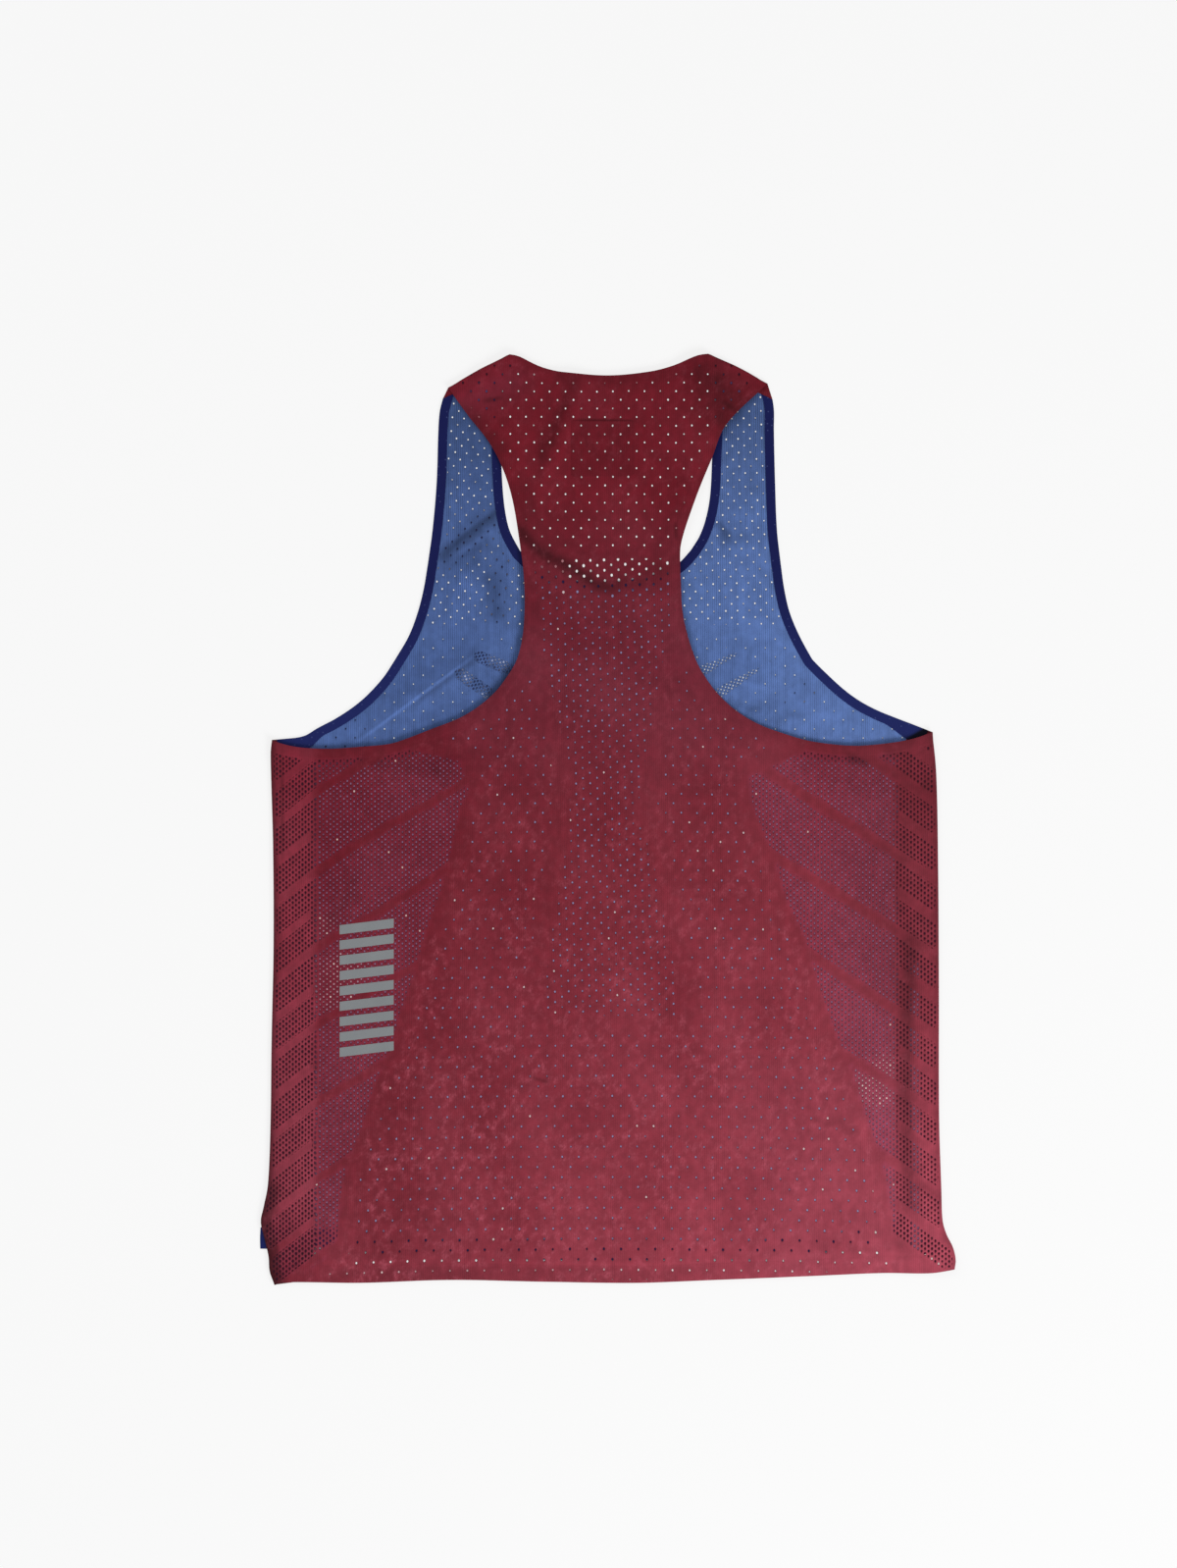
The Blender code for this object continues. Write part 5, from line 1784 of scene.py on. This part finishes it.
@dataclass
class BackPanel(Maker):
    """The racer back, cut in one, which runs round both sides and over both shoulders."""

    with_pieces: list[Piece]
    row_step: float = 3.2
    edge_row: float = 0.9
    racer_length: float = 226.0
    arm_columns: int = 54
    shoulder_columns: int = 16
    neck_columns: int = 40
    shoulder_share: float = 0.28
    fold_cells: int = 8
    side_wrap_cells: int = 10
    shoulder_wrap_cells: int = 3
    seam_rise: float = 40.0
    pinch: float = 7.0
    pinched: float = 0.12
    hem_tuck: float = 4.0

    def row_shares(self, length: float, *more: float) -> np.ndarray:
        """Return the shares of a length at which rows lie: even ones, and more at given places."""
        rows = even(round(length / self.row_step)) * length
        return np.unique(np.concatenate([rows, more])) / length

    def fullness(self, line: np.ndarray) -> np.ndarray:
        """Return how round a fold is at each point of its line: it is pressed flat at both ends.

        Args:
            line: The fold's line, as x, y rows in millimetres.

        Returns:
            A share for each point, where 1 is a round fold.
        """
        along = run_lengths(line[:, :2])
        from_end = np.minimum(along, along[-1] - along)
        return self.pinched + (1.0 - self.pinched) * ramp(from_end, 0.0, self.pinch)

    def fold_line(self, line: np.ndarray, seam: np.ndarray) -> np.ndarray:
        """Move a fold's outermost line in by the fold's own radius, and give it its height.

        Args:
            line: The fold's outermost line, as x, y rows in millimetres.
            seam: The seam's point for each point of the line.

        Returns:
            The moved line, as x, y, z rows.
        """
        inward = towards(line, seam)
        height = LAY.back(line + inward * LAY.cloth)
        return raised(line + inward * (height / 2 * self.fullness(line))[:, None], height)

    def side_line(self, side: Table, seam_x: float) -> np.ndarray:
        """Return the plan of the upper layer's edge where it meets a folded side.

        Args:
            side: The table of the fold's outermost line.
            seam_x: Where its seam runs.

        Returns:
            The line, as x, y rows.
        """
        length = LEFT_SIDE[-1][1] - LEFT_SIDE[0][1]
        line = smooth_path(side, self.row_shares(length, self.edge_row, length - self.edge_row))
        seam = np.column_stack([np.full(len(line), seam_x), line[:, 1]])
        return self.fold_line(line, seam)[:, :2]

    def foot(self) -> np.ndarray:
        """Return the line across the racer back's foot."""
        shares = outer_and_middle(self.shoulder_share, self.shoulder_columns, self.neck_columns)
        return smooth_path((RACER_LEFT[0], RACER_RIGHT[0]), shares)

    def body_plan(self) -> np.ndarray:
        """Return the plan from the hem to the underarms and the racer back's foot.

        Returns:
            An array of rows, columns and x, y.
        """
        left = self.side_line(LEFT_SIDE, SIDE_SEAM_LEFT)
        right = self.side_line(RIGHT_SIDE, SIDE_SEAM_RIGHT)
        arms = [fine(arm, self.arm_columns) for arm in (BACK_UNDERARM_LEFT, BACK_UNDERARM_RIGHT)]
        top = np.vstack([arms[0][:-1], self.foot(), arms[1][1:]])
        bottom = fine(BACK_HEM, len(top) - 1)
        for row, end in ((top, -1), (bottom, 0)):
            row[0], row[-1] = left[end], right[end]
        return patch(bottom, top, left, right)

    def shoulder(self, left: bool) -> tuple[np.ndarray, np.ndarray]:
        """Return one shoulder's upper edge, x, y, z, and its seam, x, y, both left to right.

        Args:
            left: Whether it is the left shoulder.

        Returns:
            The edge and the seam.
        """
        tables = (SHOULDER_LEFT, FRONT_SEAM_LEFT) if left else (SHOULDER_RIGHT, FRONT_SEAM_RIGHT)
        line, seam = (fine(table, self.shoulder_columns) for table in tables)
        return self.fold_line(line, seam), seam

    def racer_plan(self) -> np.ndarray:
        """Return the racer back's plan from its foot to the shoulders and the neckline.

        Returns:
            An array of rows, columns and x, y.
        """
        shares = self.row_shares(self.racer_length, self.racer_length - self.edge_row)
        left, right = smooth_path(RACER_LEFT, shares), smooth_path(RACER_RIGHT, shares)
        shoulders = [self.shoulder(is_left)[0][:, :2] for is_left in (True, False)]
        top = np.vstack([shoulders[0], fine(BACK_NECK, self.neck_columns)[1:-1], shoulders[1]])
        left[-1], right[-1] = top[0], top[-1]
        return patch(self.foot(), top, left, right)

    def folded(self, edge: np.ndarray, seam: np.ndarray, cells: int) -> Sheet:
        """Carry the upper layer's edge round a fold and back beneath it.

        Args:
            edge: The upper layer's edge points, x, y, z, which the strip starts from.
            seam: The x, y points where the strip ends under the sheet.
            cells: How many cells the flat part beneath has.

        Returns:
            A sheet with one row for each edge point, and its columns round the fold.
        """
        flat, radius, full = edge[:, :2], edge[:, 2] / 2, self.fullness(edge)
        inward = towards(flat, seam)
        faces = []
        for size, height in ((radius, 0.0), (radius - LAY.knit, LAY.knit)):
            bent = [
                raised(flat - inward * (size * full * np.sin(turn))[:, None], radius + size * np.cos(turn))
                for turn in np.pi * even(self.fold_cells)
            ]
            beneath = [raised(flat + (seam - flat) * share, height) for share in even(cells)[1:]]
            faces.append(np.stack(bent + beneath, axis=1))
        return Sheet(*faces)

    def side_seam(self, edge: np.ndarray, left: bool) -> np.ndarray:
        """Return a side seam's points, which rise to the front armhole near their top.

        Args:
            edge: The upper layer's edge, as x, y, z rows.
            left: Whether it is the left side.

        Returns:
            The seam, as x, y rows.
        """
        top_y = (FRONT_UNDERARM_LEFT[0] if left else FRONT_UNDERARM_RIGHT[-1])[1]
        y = edge[:, 1]
        near_top = np.clip((y - y[-1]) / self.seam_rise + 1.0, 0.0, 1.0) ** 2
        near_hem = np.clip(1.0 - (y - y[0]) / self.seam_rise, 0.0, 1.0) ** 2
        risen = y + (top_y - y[-1]) * near_top + self.hem_tuck * near_hem
        return np.column_stack([side_seam_x(risen, left), risen])

    def build(self) -> Piece:
        """Build the panel and return its piece.

        Returns:
            The new piece.
        """
        body, racer = (
            slab(plan, LAY.back(plan) - LAY.knit, LAY.knit)
            for plan in (self.body_plan(), self.racer_plan())
        )
        wall = Wall("back_panel_knit").add(body, racer)
        for column, is_left in ((0, True), (-1, False)):
            edge = body.outer[:, column]
            side = self.folded(edge, self.side_seam(edge, is_left), self.side_wrap_cells)
            wall.add(side.changed(lambda grid: grid[:, ::-1]) if is_left else side)
        count = self.shoulder_columns + 1
        for edge, is_left in ((racer.outer[-1, :count], True), (racer.outer[-1, -count:], False)):
            strip = self.folded(edge, self.shoulder(is_left)[1], self.shoulder_wrap_cells)
            wall.add(strip.changed(lambda grid: grid.swapaxes(0, 1)))
        return wall.build(lambda points: BackEyelets(points[:, :2]).fields())

    def dress(self, piece: Piece) -> None:
        """Finish the panel and log its cloth's area.

        Args:
            piece: The panel's piece.
        """
        dress(piece, Finish.MAROON_KNIT, ["back_panel"])
        cloth_area(piece)


@dataclass
class FrontPanel(Maker):
    """The front, cut in one, with a deep neckline and wide straps."""

    with_pieces: list[Piece]
    row_step: float = 4.0
    body_length: float = 394.0
    arm_columns: int = 26
    strap_columns: int = 22
    neck_columns: int = 46
    strap_share: float = 0.27
    strap_rows: int = 58
    chest_rows: int = 30

    def foot(self) -> np.ndarray:
        """Return the line across the foot of the chest, strap columns first and last."""
        shares = outer_and_middle(self.strap_share, self.strap_columns, self.neck_columns)
        return smooth_path((FRONT_UNDERARM_LEFT[-1], FRONT_UNDERARM_RIGHT[0]), shares)

    def body_plan(self) -> np.ndarray:
        """Return the plan from the hem to the chest line.

        Returns:
            An array of rows, columns and x, y.
        """
        arms = [fine(arm, self.arm_columns) for arm in (FRONT_UNDERARM_LEFT, FRONT_UNDERARM_RIGHT)]
        top = np.vstack([arms[0][:-1], self.foot(), arms[1][1:]])
        sides = []
        for end, is_left in ((0, True), (-1, False)):
            side = fine((FRONT_HEM[end], top[end]), round(self.body_length / self.row_step))
            side[:, 0] = side_seam_x(side[:, 1], is_left)
            side[-1] = top[end]
            sides.append(side)
        return patch(smooth_path(FRONT_HEM, run_shares(top[:, :1])), top, *sides)

    def strap_foot(self, left: bool) -> np.ndarray:
        """Return the line across one strap's foot, left to right.

        Args:
            left: Whether it is the left strap.

        Returns:
            The line, as x, y rows.
        """
        ends = (FRONT_CHEST_LEFT[-1], FRONT_NECK_CURVE[0])
        if not left:
            ends = (FRONT_NECK_CURVE[-1], FRONT_CHEST_RIGHT[-1])
        return fine(ends, self.strap_columns)

    def chest_plan(self) -> np.ndarray:
        """Return the plan from the chest line to the strap feet and the neckline.

        Returns:
            An array of rows, columns and x, y.
        """
        neck = fine(FRONT_NECK_CURVE, self.neck_columns)[1:-1]
        top = np.vstack([self.strap_foot(True), neck, self.strap_foot(False)])
        sides = (fine(side, self.chest_rows) for side in (FRONT_CHEST_LEFT, FRONT_CHEST_RIGHT))
        return patch(self.foot(), top, *sides)

    def strap_plan(self, left: bool) -> np.ndarray:
        """Return one strap's plan from its foot to the shoulder seam.

        Args:
            left: Whether it is the left strap.

        Returns:
            An array of rows, columns and x, y.
        """
        seam, edges = FRONT_SEAM_LEFT, (FRONT_STRAP_LEFT, FRONT_NECK_LEFT)
        if not left:
            seam, edges = FRONT_SEAM_RIGHT, (FRONT_NECK_RIGHT, FRONT_STRAP_RIGHT)
        top = fine(seam, self.strap_columns)
        sides = [fine(edge, self.strap_rows) for edge in edges]
        sides[0][-1], sides[1][-1] = top[0], top[-1]
        return patch(self.strap_foot(left), top, *sides)

    def build(self) -> Piece:
        """Build the panel and return its piece.

        Returns:
            The new piece.
        """
        plans = (self.body_plan(), self.chest_plan(), self.strap_plan(True), self.strap_plan(False))
        wall = Wall("front_panel_knit").add(*(slab(plan, LAY.front(plan), LAY.knit) for plan in plans))
        return wall.build(lambda points: FrontEyelets(points[:, :2]).fields())

    def dress(self, piece: Piece) -> None:
        """Finish the panel and log its cloth's area.

        Args:
            piece: The panel's piece.
        """
        dress(piece, Finish.BLUE_KNIT, ["front_panel"])
        area = cloth_area(piece)


class Tape(Enum):
    """The bonded tapes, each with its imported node."""

    FRONT_ARMHOLE_LEFT = "front_armhole_tape_left"
    FRONT_ARMHOLE_RIGHT = "front_armhole_tape_right"
    FRONT_NECK = "front_neck_tape"
    FRONT_HEM = "front_hem_tape"
    BACK_ARMHOLE_LEFT = "back_armhole_tape_left"
    BACK_ARMHOLE_RIGHT = "back_armhole_tape_right"
    BACK_NECK = "back_neck_tape"

    @property
    def is_front(self) -> bool:
        """Whether the tape is on the front panel."""
        return self.value.startswith("front")


# A front armhole's tape runs on to these places past the seams, at its foot and its head.
ARMHOLE_TAPE_LEFT: Table = ((-251.6, 60.1), (-122.2, 329.0))
ARMHOLE_TAPE_RIGHT: Table = ((243.4, 66.9), (121.6, 328.6))


@dataclass
class Strip(Maker):
    """One bonded tape, which follows an armhole, a neckline or the front hem."""

    tape: Tape
    front_trim: float = 1.0
    back_trim: float = 9.0
    cell: float = 2.4
    cells_across: int = 4
    finer: int = 4
    tuck: float = 0.75
    tuck_start: float = 36.0
    tuck_whole: float = 10.0
    seam_margin: float = 0.2

    def path(self) -> tuple[np.ndarray, float]:
        """Return the edge as a path, and 1 where the panel lies to its left, -1 to its right.

        Returns:
            The path, as x, y rows, and that sign.
        """
        foot_left, head_left = ARMHOLE_TAPE_LEFT
        foot_right, head_right = ARMHOLE_TAPE_RIGHT
        under_left, under_right = fine(BACK_UNDERARM_LEFT), fine(BACK_UNDERARM_RIGHT)[::-1]
        return {
            Tape.FRONT_ARMHOLE_LEFT: (np.vstack([foot_left, front_armhole(True), head_left]), -1.0),
            Tape.FRONT_ARMHOLE_RIGHT: (np.vstack([foot_right, front_armhole(False), head_right]), 1.0),
            Tape.FRONT_NECK: (front_neckline(), -1.0),
            Tape.FRONT_HEM: (fine(FRONT_HEM), 1.0),
            Tape.BACK_ARMHOLE_LEFT: (np.vstack([under_left[:-1], fine(RACER_LEFT)]), -1.0),
            Tape.BACK_ARMHOLE_RIGHT: (np.vstack([under_right[:-1], fine(RACER_RIGHT)]), 1.0),
            Tape.BACK_NECK: (fine(BACK_NECK), -1.0),
        }[self.tape]

    def plan(self) -> np.ndarray:
        """Return the plan as a grid whose rows climb to the left of its columns.

        Returns:
            An array of rows, columns and x, y.
        """
        path, inward = self.path()
        length = run_lengths(path)[-1]
        cells = round(length / self.cell)
        trim = self.front_trim if self.tape.is_front else self.back_trim
        along = np.linspace(trim, length - trim, cells * self.finer + 1)
        edge = at_shares(path, along / length)
        run = np.gradient(edge, axis=0)
        normal = np.column_stack([-run[:, 1], run[:, 0]]) / np.linalg.norm(run, axis=1)[:, None]
        reach = inward * (LAY.hem_tape_width if self.tape is Tape.FRONT_HEM else LAY.tape_width)
        seams = {Tape.FRONT_ARMHOLE_LEFT: FRONT_SEAM_LEFT, Tape.FRONT_ARMHOLE_RIGHT: FRONT_SEAM_RIGHT}
        seam = seams.get(self.tape)
        if seam is not None:
            reach = reach * (1.0 + self.tuck * ramp(along, self.tuck_start, self.tuck_whole))[:, None]
        rows = []
        for share in even(self.cells_across):
            row = edge + normal * reach * share
            if seam is not None:
                row = row[row[:, 1] <= np.interp(row[:, 0], *np.array(seam).T) + self.seam_margin]
            rows.append(at_shares(row, even(cells)))
        return np.stack(rows if inward > 0 else rows[::-1])

    def build(self) -> Piece:
        """Build the tape on its panel and return its piece.

        Returns:
            The new piece.
        """
        plan = self.plan()
        if self.tape.is_front:
            bottom = LAY.front(plan) + LAY.knit + LAY.bond
        else:
            bottom = LAY.back(plan) - LAY.knit - LAY.bond - LAY.tape
        return Wall(f"{self.tape.value}_strip").add(slab(plan, bottom, LAY.tape)).build()

    def dress(self, piece: Piece) -> None:
        """Finish the tape.

        Args:
            piece: The tape's piece.
        """
        if self.tape.is_front:
            dress(piece, Finish.NAVY_TAPE, [self.tape.value])
        else:
            dress(piece, Finish.MAROON_TAPE, [self.tape.value])


@dataclass
class HemBand(Maker):
    """The turned-up edge that lies on the surface under the back hem."""

    columns: int = 170
    rows: int = 5
    hem_steps: int = 200
    inset: float = 0.5
    above_hem: float = 0.2
    rise: float = 0.25
    highest: float = 0.4
    no_eyelets: float = -5.0

    def build(self) -> Piece:
        """Build the band and return its piece.

        Returns:
            The new piece.
        """
        ends = (SIDE_SEAM_LEFT + self.inset, SIDE_SEAM_RIGHT - self.inset)
        across = np.linspace(*ends, self.columns + 1)
        hem = np.interp(across, *fine(BACK_HEM, self.hem_steps).T) + self.above_hem
        lower = np.column_stack([across, hem])
        plan = np.stack([lower + (0.0, LAY.hem_band_width * share) for share in even(self.rows)])
        height = np.clip(self.rise + HEM_RIPPLE.at(plan), 0.0, self.highest)
        return Wall("back_hem_band_knit").add(slab(plan, height, LAY.knit)).build(self.fields)

    def fields(self, points: np.ndarray) -> dict[str, np.ndarray]:
        """Return the band's point values for its finish: the back's own, with no eyelets.

        Args:
            points: The outer points, as x, y, z rows in millimetres.

        Returns:
            The values of each point, by their names in the finish.
        """
        fields = BackEyelets(points[:, :2]).fields()
        fields["eyelet"][:, 2] = self.no_eyelets
        return fields

    def dress(self, piece: Piece) -> None:
        """Finish the band."""
        dress(piece, Finish.MAROON_KNIT, ["back_hem_band"])


@dataclass
class NeckLabel(Maker):
    """The bare patch inside the back, below the neckline."""

    cells: int = 12

    def build(self) -> Piece:
        """Build the patch and return its piece.

        Returns:
            The new piece.
        """
        across, along = (
            centre + size * (even(self.cells) - 0.5)
            for centre, size in zip(LAY.label_centre, LAY.label_size)
        )
        plan = np.stack(np.meshgrid(across, along), axis=-1)
        bottom = LAY.back(plan) - LAY.knit - LAY.tape - LAY.bond
        return Wall("neck_label_patch").add(slab(plan, bottom, LAY.tape)).build()

    def dress(self, piece: Piece) -> None:
        """Finish the patch."""
        dress(piece, Finish.MAROON_TAPE, ["neck_label"])


@dataclass
class HemCorner(Maker):
    """The corner of the taped front hem that stands out past the folded left side."""

    outer: Table = ((-263.0, -309.0), (-263.4, -317.0), (-263.2, -325.2))
    inner: Table = ((-261.4, -309.0), (-259.6, -317.0), (-257.6, -325.2))
    rows: int = 8
    columns: int = 4
    low: float = 0.25
    rise: float = 1.1

    def build(self) -> Piece:
        """Build the corner and return its piece.

        Returns:
            The new piece.
        """
        left, right = fine(self.outer, self.rows), fine(self.inner, self.rows)
        shares = even(self.columns)
        plan = np.stack([left + (right - left) * share for share in shares], axis=1)
        height = self.low + self.rise * shares
        return Wall("front_hem_corner").add(slab(plan, height, LAY.tape)).build()

    def dress(self, piece: Piece) -> None:
        """Finish the corner."""
        dress(piece, Finish.NAVY_TAPE)


@dataclass
class SafetyStrip(Maker):
    """A strip of slanted reflective dashes on the lower left of the back."""

    left: float = -203.0
    right: float = -162.0
    bottom: float = -180.0
    dashes: int = 9
    pitch: float = 11.6
    dash: float = 7.0
    lean: float = 5.0
    film: float = 0.12
    bond: float = 0.01
    columns: int = 14
    rows: int = 4

    def build(self) -> Piece:
        """Build the dashes as one piece and return it.

        Returns:
            The new piece.
        """
        wall = Wall("safety_strip")
        across, along = np.meshgrid(even(self.columns), even(self.rows))
        x = self.left + (self.right - self.left) * across
        for number in range(self.dashes):
            y = self.bottom + number * self.pitch + self.dash * along + self.lean * across
            plan = np.stack([x, y], axis=-1)
            wall.add(slab(plan, LAY.back(plan) + self.bond, self.film))
        return wall.build()

    def dress(self, piece: Piece) -> None:
        """Finish the dashes."""
        dress(piece, Finish.REFLECTIVE)


class Lamp(NamedTuple):
    """A soft square lamp that faces the garment, in metres and watts."""

    name: str
    place: tuple[float, float, float]
    size: float
    power: float


@dataclass
class Studio:
    """The floor, the lights and the camera, in metres."""

    lamps: tuple[Lamp, ...] = (
        Lamp("key_lamp", (1.7, -1.9, 1.9), 1.2, 62.0),
        Lamp("fill_lamp", (-1.8, 1.6, 2.4), 1.8, 22.0),
    )
    aim: tuple[float, float] = (-0.0146, 0.0266)
    distance: float = 3.5
    frame_height: float = 1.1873
    sensor: float = 36.0
    floor_size: float = 40.0
    floor_drop: float = 0.0003
    floor_glow: float = 0.78
    floor_colour: float = 0.17
    sky_strength: float = 0.5

    def build_floor(self) -> None:
        """Lay the floor, which also gives off a little light, so that its shadows stay pale."""
        half = self.floor_size / 2
        mesh = bpy.data.meshes.new("floor")
        sides = ((-half, -half), (half, -half), (half, half), (-half, half))
        mesh.from_pydata([(x, y, -self.floor_drop) for x, y in sides], [], [(0, 1, 2, 3)])
        floor = placed("floor", mesh)
        graph = Graph("pale_floor")
        mesh.materials.append(
            graph.finish(
                Base_Color=(self.floor_colour,) * 3,
                Roughness=0.9,
                Specular_IOR_Level=0.0,
                Emission_Color=(1.0, 1.0, 1.0),
                Emission_Strength=self.floor_glow,
            )
        )

    def build_lights(self) -> None:
        """Light the garment softly, mostly from the lower right."""
        for lamp in self.lamps:
            light = bpy.data.lights.new(lamp.name, "AREA")
            light.shape, light.size, light.energy = "SQUARE", lamp.size, lamp.power
            hung = placed(lamp.name, light)
            hung.location = lamp.place
            hung.rotation_euler = (-Vector(lamp.place)).to_track_quat("-Z", "Y").to_euler()
        world = bpy.data.worlds.new("soft_room")
        world.use_nodes = True
        sky = world.node_tree.nodes["Background"]
        sky.inputs["Color"].default_value = (1.0, 1.0, 1.0, 1.0)
        sky.inputs["Strength"].default_value = self.sky_strength
        bpy.context.scene.world = world

    def build_camera(self) -> None:
        """Look straight down on the garment."""
        data = bpy.data.cameras.new("camera")
        data.sensor_width = self.sensor
        data.lens = self.sensor * self.distance / self.frame_height
        camera = placed("camera", data)
        camera.location = (*self.aim, self.distance)
        bpy.context.scene.camera = camera
        bpy.context.scene.view_settings.view_transform = "Standard"

    def build(self) -> None:
        """Build the whole studio."""
        self.build_floor()
        self.build_lights()
        self.build_camera()


def main() -> None:
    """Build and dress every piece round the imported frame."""
    logging.basicConfig(level=logging.INFO, format="%(name)s: %(message)s", stream=sys.stdout)
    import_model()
    Studio().build()

    strips = {tape: Strip(tape).make() for tape in Tape}
    label = NeckLabel().make()
    corner = HemCorner().make()
    dashes = SafetyStrip().make()
    HemBand().make()
    FrontPanel([*(piece for tape, piece in strips.items() if tape.is_front), corner]).make()
    back_strips = [piece for tape, piece in strips.items() if not tape.is_front]
    BackPanel([*back_strips, label, dashes]).make()


if __name__ == "__main__":
    main()
